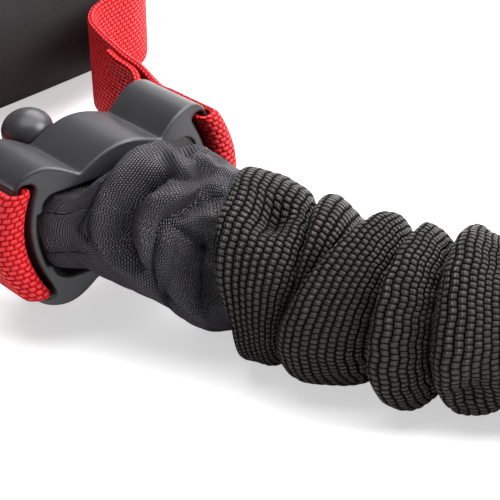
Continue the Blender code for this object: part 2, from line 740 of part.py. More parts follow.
def strap_line():
    """Half of the strap's middle line on the right of the handle: x, y, z, lean, bow per metre."""
    inner = SLOT_OUT - GAP - STRAP_THICK / 2
    outer = END_OUT + 1.3 * GAP + STRAP_THICK / 2
    half_depth = CONNECTOR_DEPTH / 2
    # a little more or less than the bars' own bow, for an even gap
    inner_bow = 1.045 / (2 * BOW_RADIUS)
    outer_bow = 0.94 * (END_OUT - TIP_OUT) / VALLEY_TOP ** 2
    line = []

    def add(across, back, lean, curve):
        place = from_connector(across, back + sweep(across), 0) - HANDLE
        line.append((*place, lean, curve))

    def drop(part):
        return FOAM_RADIUS + part * (CONNECTOR_RISE - FOAM_RADIUS)

    leg = [
        (outer * 0.993, GRIP_REACH * 0.300, drop(0.486), 0.8, outer_bow * 0.55),
        (outer * 0.973, GRIP_REACH * 0.3875, drop(0.400), 0.6, outer_bow * 0.3),
        (outer * 0.973, STRAP_TAIL, drop(0.343), 0.5, outer_bow * 0.15),
    ]
    # the sewn tail lies inside the leg, and runs forward through the slot
    for x, y, z, lean, curve in reversed(leg):
        line.append((x - STRAP_THICK - 2 * GAP, y, z, lean, curve))
    add(inner + 0.0006, half_depth + 0.0034, 1, inner_bow)
    for back in (1.05, 0.4, -0.25, -0.85):
        add(inner, back * half_depth, 1, inner_bow)
    # round the outer bar's front
    turn_wide = (outer - inner) / 2
    turn_deep = 0.0006 + 2 * GAP + STRAP_THICK / 2
    for i in range(1, 6):
        angle = math.pi * i / 6
        add(
            (inner + outer) / 2 - turn_wide * math.cos(angle),
            -half_depth + 0.0006 - turn_deep * math.sin(angle) - 0.0006 * i / 6, 1,
            inner_bow + (outer_bow - inner_bow) * i / 6,
        )
    for back in (-0.85, -0.5, 0, 0.5, 0.95):
        add(outer, back * half_depth, 1, outer_bow)
    # the leg goes back to the grip's end, and turns into its core
    line += leg
    line.append((outer * 0.987, GRIP_REACH * 0.55, drop(0.257), 0.3, 0))
    spread = GRIP_HALF - outer
    # part of the spread, foam radii before the grip's axis, drop, lean
    for part, before, height, lean in [
        (0.070, 1.583, 0.171, 0.15), (0.265, 1.306, 0.114, 0.05), (0.571, 1.161, 0.071, 0),
        (0.927, 1.061, 0.043, 0), (1.190, 0.856, 0.014, 0), (1.370, 0.500, 0, 0),
        (1.312, 0.178, 0, 0), (1.122, 0, 0, 0), (0.707, 0, 0, 0),
    ]:
        line.append((outer + part * spread, GRIP_REACH - before * FOAM_RADIUS, drop(height), lean, 0))
    return line


def make_strap():
    right = strap_line()
    middle = [(part * GRIP_HALF, GRIP_REACH, FOAM_RADIUS, 0, 0) for part in (0.4, 0, -0.4)]
    left = [(-x, y, z, lean, curve) for x, y, z, lean, curve in reversed(right)]
    rows = []
    across = (-1, -0.5, 0, 0.5, 1)
    for x, y, z, lean, curve in right + middle + left:
        tip = lean * CONNECTOR_LEAN
        up = Vector((0, math.sin(tip), math.cos(tip)))
        sign = 1 if x > 0 else -1
        row = []
        for part in across:
            height = part * STRAP_WIDTH / 2
            inward = sign * curve * height ** 2
            swept = sweep(x) - sweep(abs(x) - curve * height ** 2) if curve else 0
            forward = Vector((0, -math.cos(tip), math.sin(tip)))
            row.append(HANDLE + Vector((x - inward, y, z)) + height * up + swept * forward)
        rows.append(row)
    return add_object("handle_strap_a", ribbon("handle_strap_a", rows, STRAP_THICK), RED_WEBBING)


def lay_along_grip(piece, across):
    """Puts a turned piece on the grip's axis, with a flat side down."""
    half_side = Matrix.Rotation(math.pi / GRIP_SIDES, 4, "Z")
    turn = Matrix.Rotation(math.pi / 2, 4, "Y")
    place = HANDLE + Vector((across, GRIP_REACH, FOAM_RADIUS))
    piece.matrix_world = Matrix.Translation(place) @ turn @ half_side


def corner_radius(flat_radius):
    """The radius to a turned piece's corners that puts its flat sides at the given radius."""
    return flat_radius / math.cos(math.pi / GRIP_SIDES)


def make_grip():
    foam_half = FOAM_LENGTH / 2
    soft = 0.002
    outer, bore = corner_radius(FOAM_RADIUS), corner_radius(CORE_RADIUS + GAP)
    profile = [
        (bore, foam_half), (outer - soft, foam_half), (outer - soft * 0.3, foam_half - soft * 0.3),
        (outer, foam_half - soft), (outer, -foam_half + soft),
        (outer - soft * 0.3, -foam_half + soft * 0.3), (outer - soft, -foam_half), (bore, -foam_half),
    ]
    foam = add_object("grip_foam_a", turned("grip_foam_a", profile, GRIP_SIDES, True), FOAM)
    lay_along_grip(foam, 0)
    core_half = GRIP_HALF - CAP_SHOULDER - GAP
    wall = (corner_radius(CORE_BORE), corner_radius(CORE_RADIUS))
    profile = [(wall[0], core_half), (wall[1], core_half), (wall[1], -core_half), (wall[0], -core_half)]
    core = add_object("grip_core_a", turned("grip_core_a", profile, GRIP_SIDES, True), HARD_PLASTIC)
    lay_along_grip(core, 0)
    caps = []
    for name, side in (("grip_cap_a_left", -1), ("grip_cap_a_right", 1)):
        mesh = turned(name, cap_profile(), GRIP_SIDES, True)
        if side < 0:
            mesh.transform(Matrix.Rotation(math.pi, 4, "X"))
        cap = add_object(name, mesh, HARD_PLASTIC)
        lay_along_grip(cap, side * (foam_half + GAP))
        caps.append(cap)
    return foam, core, caps


def cap_profile():
    """A collar over the core's end. It starts at the foam and its shoulder is at the outer end."""
    bore, seat = corner_radius(CORE_BORE), corner_radius(CORE_RADIUS + GAP)
    rim = corner_radius(CAP_RADIUS)
    ease = 0.0012
    step = CAP_LENGTH - CAP_SHOULDER
    return [
        (bore, CAP_LENGTH), (rim - ease, CAP_LENGTH), (rim, CAP_LENGTH - ease), (rim, 0),
        (seat, 0), (seat, step), (bore, step),
    ]


def add_axis(name, place, lean=0.0):
    """An empty on a joint's axis, which carries the pieces that move about it."""
    empty = bpy.data.objects.new(name, None)
    empty.empty_display_size = 0.01
    empty.location = place
    empty.rotation_euler = (-lean, 0, 0)
    product.objects.link(empty)
    return empty


def carry(empty, pieces):
    bpy.context.view_layer.update()
    for piece in pieces:
        kept = piece.matrix_world.copy()
        piece.parent = empty
        piece.matrix_parent_inverse = empty.matrix_world.inverted()
        piece.matrix_world = kept


def mirrored(piece):
    """The same piece on the other handle."""
    twin = piece.copy()
    twin.parent = None
    twin.name = piece.name.replace("_a_", "_b_") if "_a_" in piece.name else piece.name[:-1] + "b"
    if piece.data:
        twin.data = piece.data.copy()
        twin.data.name = twin.name
        twin.data.transform(MIRROR)
        twin.data.flip_normals()
    twin.matrix_world = MIRROR @ piece.matrix_world @ MIRROR
    product.objects.link(twin)
    return twin


def build():
    connector = make_connector()
    toggle = make_toggle()
    loop = make_anchor_loop()
    plug = add_object("tube_plug_a", make_plug(), HARD_PLASTIC)
    lay_along_tube(plug, EYE_REACH)
    crimp = add_object("crimp_ring_a", make_crimp(), STEEL)
    lay_along_tube(crimp, TUBE_START + GAP + CRIMP_LENGTH / 2)
    cuff = make_cuff()
    strap = make_strap()
    foam, core, caps = make_grip()
    make_latex_tube()
    make_sleeve()

    swivel = add_axis("swivel_axis_a", TOGGLE_POINT, CONNECTOR_LEAN)
    fold_place = from_connector(0, CONNECTOR_DEPTH / 2 + sweep(END_OUT), 0)
    fold = add_axis("fold_axis_a", fold_place)
    spin = add_axis("spin_axis_a", HANDLE + Vector((0, GRIP_REACH, FOAM_RADIUS)))
    on_tube = [toggle, loop, plug, crimp, cuff]
    on_swivel, on_fold, on_spin = [connector], [strap], [foam, core, *caps]
    bpy.context.view_layer.update()
    for group, empty in ((on_swivel, swivel), (on_fold, fold), (on_spin, spin)):
        twins = [mirrored(piece) for piece in group]
        carry(mirrored(empty), twins)
        carry(empty, group)
    for piece in on_tube:
        mirrored(piece)


build()
bpy.context.view_layer.update()
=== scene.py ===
from math import copysign, cos, dist, pi, radians, sin, tan

import bmesh
import bpy
import numpy as np
from mathutils import Matrix, Vector


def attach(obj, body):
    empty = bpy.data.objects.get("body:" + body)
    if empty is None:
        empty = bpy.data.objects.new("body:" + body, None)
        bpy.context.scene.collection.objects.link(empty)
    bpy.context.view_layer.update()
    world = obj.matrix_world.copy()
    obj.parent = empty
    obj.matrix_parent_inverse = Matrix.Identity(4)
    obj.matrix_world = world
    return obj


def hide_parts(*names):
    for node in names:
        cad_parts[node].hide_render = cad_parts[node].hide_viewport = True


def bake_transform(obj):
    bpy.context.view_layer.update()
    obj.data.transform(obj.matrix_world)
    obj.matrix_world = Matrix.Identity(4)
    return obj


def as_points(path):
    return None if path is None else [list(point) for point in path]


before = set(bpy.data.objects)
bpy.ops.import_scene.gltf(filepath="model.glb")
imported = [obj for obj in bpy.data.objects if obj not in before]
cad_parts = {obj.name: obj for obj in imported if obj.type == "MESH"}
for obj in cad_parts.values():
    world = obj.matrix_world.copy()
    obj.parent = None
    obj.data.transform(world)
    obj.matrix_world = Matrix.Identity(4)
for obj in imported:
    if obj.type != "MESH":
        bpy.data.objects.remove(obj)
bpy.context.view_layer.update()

# where handle a stands, as in the part's source; lengths are in metres
layout = {
    "handle": Vector((-0.223, -0.016251, 0.0)), "rise": 0.025, "lean": radians(12),
    "heading": radians(25), "toggleSide": 0.0069, "toggleBack": 0.0171245, "mouthReach": 0.0493,
    "sleeveHeight": 0.0182, "gripReach": 0.080, "gripHeight": 0.018, "bendReaches": (0.022, 0.050),
}
mirrorX = Matrix.Scale(-1, 4, (1, 0, 0))


def fromConnector(across, back, up):
    # a point of the leaning connector's own frame, in the world
    tip = layout["lean"]
    return layout["handle"] + Vector((
        across,
        back * cos(tip) + up * sin(tip),
        layout["rise"] - back * sin(tip) + up * cos(tip),
    ))


togglePoint = fromConnector(-layout["toggleSide"], layout["toggleBack"], 0)
headingLine = Vector((sin(layout["heading"]), -cos(layout["heading"]), 0))
sideLine = headingLine.cross(Vector((0, 0, 1))).normalized()


def aheadOfToggle(reach, height):
    place = togglePoint + reach * headingLine
    return Vector((place.x, place.y, height))


def addObject(name, data):
    thing = bpy.data.objects.new(name, data)
    bpy.context.scene.collection.objects.link(thing)
    return thing


# two points ahead of the toggle, at the sleeve's height, from the connector to the tube, for each handle
bend = {"a": [aheadOfToggle(reach, layout["sleeveHeight"]) for reach in layout["bendReaches"]]}
bend["b"] = [mirrorX @ point for point in bend["a"]]


# camera: the photograph's own viewpoint, found from the connector
view = {
    "turn": radians(37.22), "drop": radians(38.81), "optics": (138.5, 36, 0.01),
    "offset": Vector((-0.1761, -0.2837, 0.2517)),
}
look = Vector((
    sin(view["turn"]) * cos(view["drop"]),
    cos(view["turn"]) * cos(view["drop"]),
    -sin(view["drop"]),
))
camera = addObject("photoCamera", bpy.data.cameras.new("photoCamera"))
camera.data.lens, camera.data.sensor_width, camera.data.clip_start = view["optics"]
camera.location = layout["handle"] + Vector((0, 0, layout["rise"])) + view["offset"]
camera.rotation_euler = look.to_track_quat("-Z", "Y").to_euler()
bpy.context.scene.camera = camera
print("camera set")


# materials

def srgb(hexColour):
    parts = [int(hexColour[i:i + 2], 16) / 255 for i in (1, 3, 5)]
    return [p / 12.92 if p <= 0.04045 else ((p + 0.055) / 1.055) ** 2.4 for p in parts] + [1]


class Nodes:
    # makes and links the nodes of a material or of the world
    def __init__(self, owner, **sockets):
        owner.use_nodes = True
        self.owner, self.tree = owner, owner.node_tree
        self.feed(**sockets)

    def plug(self, node, inputs):
        # links each socket that is given, and sets each plain value
        for key, value in inputs.items():
            if isinstance(value, bpy.types.NodeSocket):
                self.tree.links.new(value, node.inputs[key])
            else:
                node.inputs[key].default_value = value

    def feed(self, **sockets):
        # inputs of the surface or background, with an underscore for each space in their names
        shader = self.tree.nodes.get("Principled BSDF") or self.tree.nodes["Background"]
        self.plug(shader, {key.replace("_", " "): value for key, value in sockets.items()})

    def add(self, kind, inputs=None, **settings):
        node = self.tree.nodes.new("ShaderNode" + kind)
        for name, value in settings.items():
            setattr(node, name, value)
        self.plug(node, inputs or {})
        return node

    def calc(self, operation, *values):
        return self.add("Math", dict(enumerate(values)), operation=operation).outputs[0]

    def noise(self, place, scale, detail, roughness=0.5):
        return self.add("TexNoise", {
            "Vector": place, "Scale": scale, "Detail": detail, "Roughness": roughness,
        }).outputs["Fac"]

    def mix(self, factor, *pair):
        # from one colour to another, each a hex string or a socket
        first, second = (srgb(colour) if isinstance(colour, str) else colour for colour in pair)
        inputs = {"Factor": factor, "A": first, "B": second}
        return self.add("Mix", inputs, data_type="RGBA").outputs["Result"]

    def between(self, value, low, high, start=0.0, end=1.0):
        return self.add("MapRange", {
            "Value": value, "From Min": start, "From Max": end, "To Min": low, "To Max": high,
        }).outputs["Result"]

    def bump(self, height, strength, distance):
        inputs = {"Height": height, "Strength": strength, "Distance": distance}
        return self.add("Bump", inputs).outputs["Normal"]

    def objectPlace(self):
        return self.add("TexCoord").outputs["Object"]

    def clothPlace(self):
        # the piece's own cloth map, in millimetres: across or around, and along
        cloth = self.add("UVMap", uv_map="cloth").outputs["UV"]
        split = self.add("SeparateXYZ", {"Vector": cloth})
        return cloth, split.outputs["X"], split.outputs["Y"]

    def bead(self, place, power):
        # 0 at both edges of a yarn and 1 on its back, from a place that counts yarns
        centred = self.calc("ABSOLUTE", self.calc("MULTIPLY_ADD", self.calc("FRACT", place), 2.0, -1.0))
        return self.calc("SUBTRACT", 1.0, self.calc("POWER", centred, power))

    def oddRow(self, rows):
        # 1 on every second row
        return self.calc("ABSOLUTE", self.calc("MODULO", self.calc("FLOOR", rows), 2.0))


def newNodes(name, **sockets):
    return Nodes(bpy.data.materials.new(name), **sockets)


def mottled(name, look, **sockets):
    # colour and roughness wander in patches, over a fine grain; a foam's pores set its colour
    m = newNodes(name, **sockets)
    place = m.objectPlace()
    colourShare = patches = m.noise(place, *look["patches"])
    if "pores" in look:
        # painted shade: the foam's colour is darker in the middle of each pore, as shade in its hollow
        cells = m.add("TexVoronoi", {"Vector": place, "Scale": look["pores"]})
        colourShare = relief = m.between(cells.outputs["Distance"], 0, 1, *look["poreEdge"])
    elif "grain" in look:
        relief = m.noise(place, *look["grain"])
    if "relief" in look:
        m.feed(Normal=m.bump(relief, *look["relief"]))
    m.feed(Base_Color=m.mix(colourShare, *look["colours"]), Roughness=m.between(patches, *look["rough"]))
    return m.owner


def stitchThread(name, *colours):
    # bonded polyester thread: twisted, with a slight shine
    m = newNodes(name, Roughness=0.5, IOR=1.5)
    twist = m.add("TexWave", {"Vector": m.objectPlace(), "Scale": 1800.0, "Distortion": 1.0},
                  bands_direction="DIAGONAL")
    m.feed(Base_Color=m.mix(twist.outputs["Fac"], *colours))
    return m.owner


def yarnWeave(name, look):
    # floats in rows side by side, with every second row shifted by half a float
    m = newNodes(name, IOR=1.5)
    cloth, across, along = m.clothPlace()
    rowPlace, floatPlace = (along, across) if look["floatsAcross"] else (across, along)
    wander = m.noise(cloth, 0.35, 2.0)
    shift = m.calc("MULTIPLY_ADD", wander, look["wander"], -look["wander"] / 2)
    rows = m.calc("ADD", m.calc("DIVIDE", rowPlace, look["row"]), shift)
    stagger = m.calc("MULTIPLY", m.oddRow(rows), 0.5)
    floats = m.calc("ADD", m.calc("DIVIDE", floatPlace, look["float"]), stagger)
    height = m.calc("MULTIPLY", m.bead(rows, look["rowPower"]), m.bead(floats, look["floatPower"]))
    # three filaments to a yarn, which run with its float
    strands = m.calc("SINE", m.calc("MULTIPLY", rows, 2 * pi * 3))
    fuzz = m.noise(cloth, look["fuzz"], 3.0, 0.6)
    fuzziness = m.calc("MULTIPLY", fuzz, look["fuzzDepth"])
    fibre = m.calc("MULTIPLY_ADD", strands, look["strandDepth"], fuzziness)
    relief = m.calc("MULTIPLY_ADD", fibre, height, height)
    # painted shade: the colour darkens from each yarn's back to its edges, as shade between the yarns
    ramp = m.add("ValToRGB", {"Fac": height})
    for stop, place, colour in zip(ramp.color_ramp.elements, ("gapEnd", "yarnStart"), ("gap", "yarn")):
        stop.position = look[place]
        stop.color = srgb(look[colour])
    # painted highlight: the yarns' tops take a lighter colour, in random patches so that yarns also differ
    # a little from each other; no light glints from between them
    mixed = m.calc("ADD", m.calc("MULTIPLY", fuzz, 0.5), m.calc("MULTIPLY", m.noise(cloth, 0.06, 3.0), 0.5))
    colourShare = m.calc("MULTIPLY", m.between(mixed, 0.0, look["highlightShare"], 0.3, 0.7), height)
    m.feed(Base_Color=m.mix(colourShare, ramp.outputs["Color"], look["highlight"]),
           Roughness=m.between(height, 0.95, look["rough"]),
           Specular_IOR_Level=m.calc("MULTIPLY", m.calc("POWER", height, 1.2), look["shine"]),
           Normal=m.bump(relief, 1.0, look["depth"] / 1000))
    return m.owner


def cuffNylon():
    # oxford nylon: a tight plain weave, blue-black, with a silky sheen where it turns to the light; painted
    # shade lies black between the threads and a painted highlight on their tops
    look = {
        "thread": 0.52, "wide": 1.15, "rowPower": 2.0, "linePower": 3.0, "round": 0.9,
        "patches": (0.12, 4.0), "colours": ("#000000", "#2a2731"), "lit": "#413d48", "litMix": 0.5,
        "rough": (0.80, 0.30), "relief": (1.0, 0.00024), "shine": 0.75,
    }
    m = newNodes("oxfordNylon", IOR=1.53, Sheen_Weight=0.02, Sheen_Roughness=0.35)
    cloth, across, along = m.clothPlace()
    rows = m.calc("DIVIDE", along, look["thread"])
    lines = m.calc("DIVIDE", across, look["thread"] * look["wide"])
    lines = m.calc("MULTIPLY_ADD", m.oddRow(rows), 0.5, lines)
    crossing = m.calc("MULTIPLY", m.bead(rows, look["rowPower"]), m.bead(lines, look["linePower"]))
    height = m.calc("POWER", crossing, look["round"])
    # painted highlight: the lit colour on the threads' tops, in random patches; painted shade: black
    # between the threads
    colourShare = m.calc("MULTIPLY", m.calc("MULTIPLY", m.noise(cloth, *look["patches"]), height), look["litMix"])
    m.feed(Base_Color=m.mix(colourShare, m.mix(height, *look["colours"]), look["lit"]),
           Roughness=m.between(height, *look["rough"]), Normal=m.bump(height, *look["relief"]),
           Specular_IOR_Level=m.calc("MULTIPLY", height, look["shine"]))
    return m.owner


# moulded ABS with a rubbery paint: dark grey, satin, with an even fine grain and soft smears
plasticMaterial = mottled("softTouchPlastic", {
    "patches": (1000 / 9.0, 4.0, 0.55), "colours": ("#2b2a2d", "#363538"), "rough": (0.30, 0.40),
    "grain": (1000 / 0.22, 2.0, 0.6), "relief": (0.35, 0.00004),
}, IOR=1.47)
# injection-moulded polypropylene: black, with a faint satin and moulding ripples
hardMaterial = mottled("blackPolypropylene", {
    "patches": (260.0, 3.0), "colours": ("#252426", "#313033"), "rough": (0.28, 0.45),
    "grain": (260.0, 3.0), "relief": (0.2, 0.0001),
}, IOR=1.49)
# dipped natural latex: amber, a little cloudy, with a dust of talc
latexMaterial = mottled("naturalLatex", {
    "patches": (140.0, 6.0), "colours": ("#b98d54", "#d8bd92"), "rough": (0.35, 0.7),
}, IOR=1.52, Subsurface_Weight=0.15)
# zinc-plated steel ring: bright, with small marks
steelMaterial = mottled("zincPlatedSteel", {
    "patches": (900.0, 3.0), "colours": ("#a9abae", "#c9cbcd"), "rough": (0.25, 0.42),
}, Metallic=1.0)
# closed-cell rubber foam: near black, matt, with open pores under half a millimetre wide, painted darker
# inside as shade in their hollows
foamMaterial = mottled("gripFoam", {
    "patches": (90.0, 5.0), "colours": ("#151213", "#231e1f"), "rough": (0.75, 0.95),
    "pores": 1000 / 0.55, "poreEdge": (0.05, 0.4), "relief": (0.5, 0.00012),
}, IOR=1.45, Specular_IOR_Level=0.3)
nylonMaterial = cuffNylon()
threadMaterial = stitchThread("blackStitching", "#1d1c1f", "#3c3a3f")
redThreadMaterial = stitchThread("redStitching", "#8f0a10", "#d0303a")
# heavy polyester tube braid: round matt beads in rings round the tube, with painted shade between them and
# a painted highlight on their tops
sleeveMaterial = yarnWeave("sleevePolyester", {
    "row": 1.65, "float": 1.34, "floatsAcross": True, "rowPower": 3.2, "floatPower": 3.0,
    "strandDepth": 0.14, "fuzz": 3.5, "fuzzDepth": 0.35, "wander": 0.18, "gap": "#000000",
    "gapEnd": 0.16, "yarn": "#272220", "yarnStart": 0.85, "highlight": "#453e39", "highlightShare": 0.8,
    "rough": 0.34, "depth": 1.10, "shine": 0.50,
})
# 25 mm polypropylene webbing: fat red floats along its length, with a slight gloss, painted shade between
#                              the floats and a painted highlight on their tops
redMaterial = yarnWeave("redPolypropyleneWebbing", {
    "row": 1.20, "float": 1.45, "floatsAcross": False, "rowPower": 2.4, "floatPower": 3.6,
    "strandDepth": 0.06, "fuzz": 2.5, "fuzzDepth": 0.25, "wander": 0.12, "gap": "#a0070e",
    "gapEnd": 0.06, "yarn": "#e2141d", "yarnStart": 0.55, "highlight": "#ef4d54", "highlightShare": 0.7,
    "rough": 0.45, "depth": 0.5, "shine": 0.32,
})
# narrow nylon tape: a flat weave with a dull sheen, painted shade between the yarns and a painted highlight
# on their tops
tapeMaterial = yarnWeave("blackNylonTape", {
    "row": 0.9, "float": 1.8, "floatsAcross": False, "rowPower": 3.0, "floatPower": 5.0,
    "strandDepth": 0.05, "fuzz": 3.0, "fuzzDepth": 0.25, "wander": 0.2, "gap": "#0b0b0c",
    "gapEnd": 0.25, "yarn": "#2c2b2d", "yarnStart": 0.7, "highlight": "#39383a", "highlightShare": 0.5,
    "rough": 0.6, "depth": 0.2, "shine": 0.4,
})
print("materials made")


# shared making

def meshFrom(work, name):
    mesh = bpy.data.meshes.new(name)
    work.to_mesh(mesh)
    work.free()
    return mesh


def addPiece(mesh, material, sharp=None):
    # shaded smooth, but sharp at edges over that angle
    piece = addObject(mesh.name, mesh)
    mesh.materials.clear()
    mesh.materials.append(material)
    mesh.shade_smooth()
    if sharp:
        mesh.set_sharp_from_angle(angle=radians(sharp))
    return piece


def onBothHandles(piece):
    yield "a", piece
    mesh = piece.data.copy()
    mesh.name = piece.name.replace("_a", "_b")
    mesh.transform(mirrorX)
    mesh.flip_normals()
    yield "b", addObject(mesh.name, mesh)


def dress(piece, node, body, slotName):
    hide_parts(node)
    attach(piece, body)


def blendToTube(piece, suffix):
    begin, finish = (tuple(point) for point in bend[suffix])
    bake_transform(piece)
    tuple(begin)
    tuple(finish)


def gridPiece(name, points, cloth, material):
    # a grid bent to rows of points; its first and last rows and columns are welded where they meet
    rows, columns = points.shape[:2]
    work = bmesh.new()
    bmesh.ops.create_grid(work, x_segments=columns - 1, y_segments=rows - 1, size=0.5)
    mesh = meshFrom(work, name)
    mesh.vertices.foreach_set("co", points.reshape(-1).astype(np.float32))
    order = np.empty(len(mesh.loops), dtype=np.int32)
    mesh.loops.foreach_get("vertex_index", order)
    uvs = mesh.uv_layers.new(name="cloth")
    uvs.data.foreach_set("uv", cloth.reshape(-1, 2)[order].reshape(-1).astype(np.float32))
    work = bmesh.new()
    work.from_mesh(mesh)
    bmesh.ops.remove_doubles(work, verts=work.verts, dist=1e-7)
    bmesh.ops.recalc_face_normals(work, faces=work.faces)
    work.to_mesh(mesh)
    work.free()
    return addPiece(mesh, material)


def turnedPiece(name, profile, matrix, material, closed=False):
    # a profile of (radius, height) points turned about Z, then placed
    work = bmesh.new()
    verts = [work.verts.new((radius, 0, height)) for radius, height in profile]
    edges = [work.edges.new(pair) for pair in zip(verts, verts[1:])]
    if closed:
        edges.append(work.edges.new((verts[-1], verts[0])))
    bmesh.ops.spin(work, geom=verts + edges, cent=(0, 0, 0), axis=(0, 0, 1), dvec=(0, 0, 0),
                   angle=2 * pi, steps=96, use_merge=True, use_duplicate=False)
    bmesh.ops.remove_doubles(work, verts=work.verts, dist=1e-6)
    bmesh.ops.recalc_face_normals(work, faces=work.faces)
    bmesh.ops.transform(work, matrix=matrix, verts=work.verts)
    return addPiece(meshFrom(work, name), material, sharp=40)


def roundedProfile(points, radius, steps=5, closed=False):
    # rounds each corner of a profile with a short curve
    count = len(points)
    out = []
    for i, point in enumerate(points):
        if not closed and i in (0, count - 1):
            out.append(point)
            continue
        here = Vector(point)
        before, after = Vector(points[i - 1]), Vector(points[(i + 1) % count])
        reach = min(radius, (before - here).length * 0.45, (after - here).length * 0.45)
        start = here + (before - here).normalized() * reach
        end = here + (after - here).normalized() * reach
        for k in range(steps + 1):
            t = k / steps
            out.append(tuple((1 - t) ** 2 * start + 2 * t * (1 - t) * here + t ** 2 * end))
    return out


def curveThrough(points, step):
    # evenly spaced points on a smooth curve; further numbers of a point are carried along
    knots = [np.array(point, dtype=float) for point in points]
    knots = [2 * knots[0] - knots[1], *knots, 2 * knots[-1] - knots[-2]]
    dense = []
    for before, start, end, after in zip(knots, knots[1:], knots[2:], knots[3:]):
        for t in np.arange(24) / 24:
            dense.append(0.5 * (2 * start + (end - before) * t
                                + (2 * before - 5 * start + 4 * end - after) * t ** 2
                                + (3 * start - before - 3 * end + after) * t ** 3))
    dense = np.array(dense + [knots[-2]])
    lengths = np.concatenate([[0], np.cumsum(np.linalg.norm(np.diff(dense[:, :3], axis=0), axis=1))])
    wanted = np.linspace(0, lengths[-1], max(2, round(lengths[-1] / step)) + 1)
    return np.array([np.interp(wanted, lengths, column) for column in dense.T]).T, wanted


def ripple(seed, turns, angle):
    # a smooth wave round a tube, which meets itself: a few cosines with set phases
    rng = np.random.default_rng(seed)
    total = np.zeros_like(angle)
    for count in turns:
        total = total + rng.uniform(0.5, 1.0) * np.cos(count * angle + rng.uniform(0, 2 * pi))
    return total / len(turns)


def smoothed(values, width):
    # a running mean that fades towards its ends
    kernel = np.hanning(width) / np.hanning(width).sum()
    return np.convolve(np.pad(values, width // 2, mode="edge"), kernel, mode="valid")


def unit(vectors):
    return vectors / np.maximum(np.linalg.norm(vectors, axis=-1, keepdims=True), 1e-12)


def travelled(points):
    # millimetres from a grid's first row, along each of its lines
    steps = np.linalg.norm(np.diff(points, axis=0), axis=-1)
    return np.concatenate([np.zeros((1, steps.shape[1])), np.cumsum(steps, axis=0)]) * 1000


# ruched sleeve: the free cord, whose route is the one in the part's source
sleeve = {
    "crest": 0.0190, "crease": 0.0134, "pitch": 0.0140, "around": 97, "bore": 0.0113,
    "fine": 0.00047, "coarse": 0.0034, "fineEnd": 0.070, "beadRow": 1.65, "beadRise": 0.00030,
    "endFloor": 0.0182, "fullSpan": 0.0045, "lip": 0.0016, "seed": 41, "step": 0.002,
    "crestWander": 0.0009, "floorWander": 0.0012, "lean": 0.15, "leanWander": 0.07,
    "pucker": 0.0004, "puckered": (0.0170, 0.0030), "dent": 0.00022, "endFade": 0.006,
    "pressed": (0.0015, 0.0001), "smoothing": 281,
    # folds past those in view: where they lie, limits for each, and the short ones among them
    "freeFrom": 0.0625, "freeTo": 0.026, "pitchShares": (0.8, 1.25), "slants": (0.0010, 0.0038),
    "lineWander": 0.0013, "leastSpan": 0.004, "crests": (-0.0006, 0.0006),
    "creases": (-0.0006, 0.0008), "shortShare": 0.3, "shortSpans": (0.0055, 0.0080),
    "shortFrom": 0.0006, "shortStep": 0.003,
    "girth": 87 * 1.34,         # mm of cloth round the tube: a whole number of beads
    "straight": 0.0189,         # between the route's first points, which lie on the toggle's heading
    "routeOn": [
        (0.0410, -0.0742), (0.0495, -0.0802), (0.0590, -0.0888), (0.0685, -0.1003), (0.0770, -0.1155),
        (0.0840, -0.1350), (0.0893, -0.1585), (0.0925, -0.1850), (0.0938, -0.2130), (0.0943, -0.2420),
        (0.0984, -0.2714), (0.1113, -0.3025), (0.1318, -0.3292), (0.1585, -0.3497), (0.1896, -0.3626),
        (0.2230, -0.3670),
    ],
    # dimples in view: degrees round, place along, half width round and along, and depth
    "dimples": [
        (80, 0.0108, 0.0050, 0.0036, 0.0056), (-12, 0.0530, 0.0050, 0.0035, 0.0030),
        (55, 0.0300, 0.0100, 0.0030, 0.0006), (20, 0.0120, 0.0110, 0.0060, 0.0008),
        (60, 0.0560, 0.0130, 0.0022, 0.0008), (5, 0.0290, 0.0120, 0.0025, 0.0009),
    ],
    # the lining's rings, as distance from a mouth and radius, and its evenly spaced part
    "throat": [(0.0020, 0.0164), (0.0040, 0.0154)],
    "nearLining": [(0.0118, 0.0123), (0.0260, 0.0113)],
    "farLining": [(0.0260, 0.0113), (0.0110, 0.0128), (0.0030, 0.0160), (0.0010, 0.0170)],
    "liningFrom": 0.040, "liningRings": 24,
}
# creases in view: crest and floor radius of the fold that starts there, then its line as
# degrees round the tube and millimetres along it
foldLines = [
    (0.0196, 0.0182, [(-60, 9), (-28, 10), (-4, 10), (16, 7.5), (29, 5), (40, 3.6), (52, 2.5), (66, 1.6),
        (84, 0.8), (116, -2), (160, -2), (210, 1.5), (260, 6)]),
    (0.0190, 0.0128, [(-44, 18.5), (-10, 18), (6, 18.5), (28, 20), (46, 20.5), (62, 20), (82, 19),
        (102, 16.5), (150, 13.5), (220, 15), (270, 18)]),
    (0.0196, 0.0128, [(-44, 19.2), (-10, 18.8), (10, 20), (29, 22), (48, 24), (66, 26), (86, 27.6),
        (106, 28.5), (150, 27), (220, 24.5), (270, 20.5)]),
    (0.0194, 0.0122, [(-46, 39), (-4, 37), (12, 37), (44, 37), (66, 37), (88, 38), (128, 40.5), (200, 42),
        (260, 41)]),
    (0.0197, 0.0124, [(-46, 50), (-12, 47), (10, 46), (36, 46), (66, 46.5), (94, 48), (128, 51), (200, 53),
        (260, 52)]),
    (0.0190, 0.0136, [(-40, 64), (0, 62.5), (60, 61), (100, 63), (160, 66), (250, 66)]),
]


def sleeveRoute():
    near = [aheadOfToggle(layout["mouthReach"] + k * sleeve["straight"], layout["sleeveHeight"])
            for k in range(3)]
    on = [layout["handle"] + Vector((x, y, layout["sleeveHeight"])) for x, y in sleeve["routeOn"]]
    half = [tuple(point) for point in near + on]
    return half + [(-x, y, z) for x, y, z in reversed(half[:-1])]


sleeveLine, sleevePlaces = curveThrough(sleeveRoute(), sleeve["step"])
sleeveLength = sleevePlaces[-1]


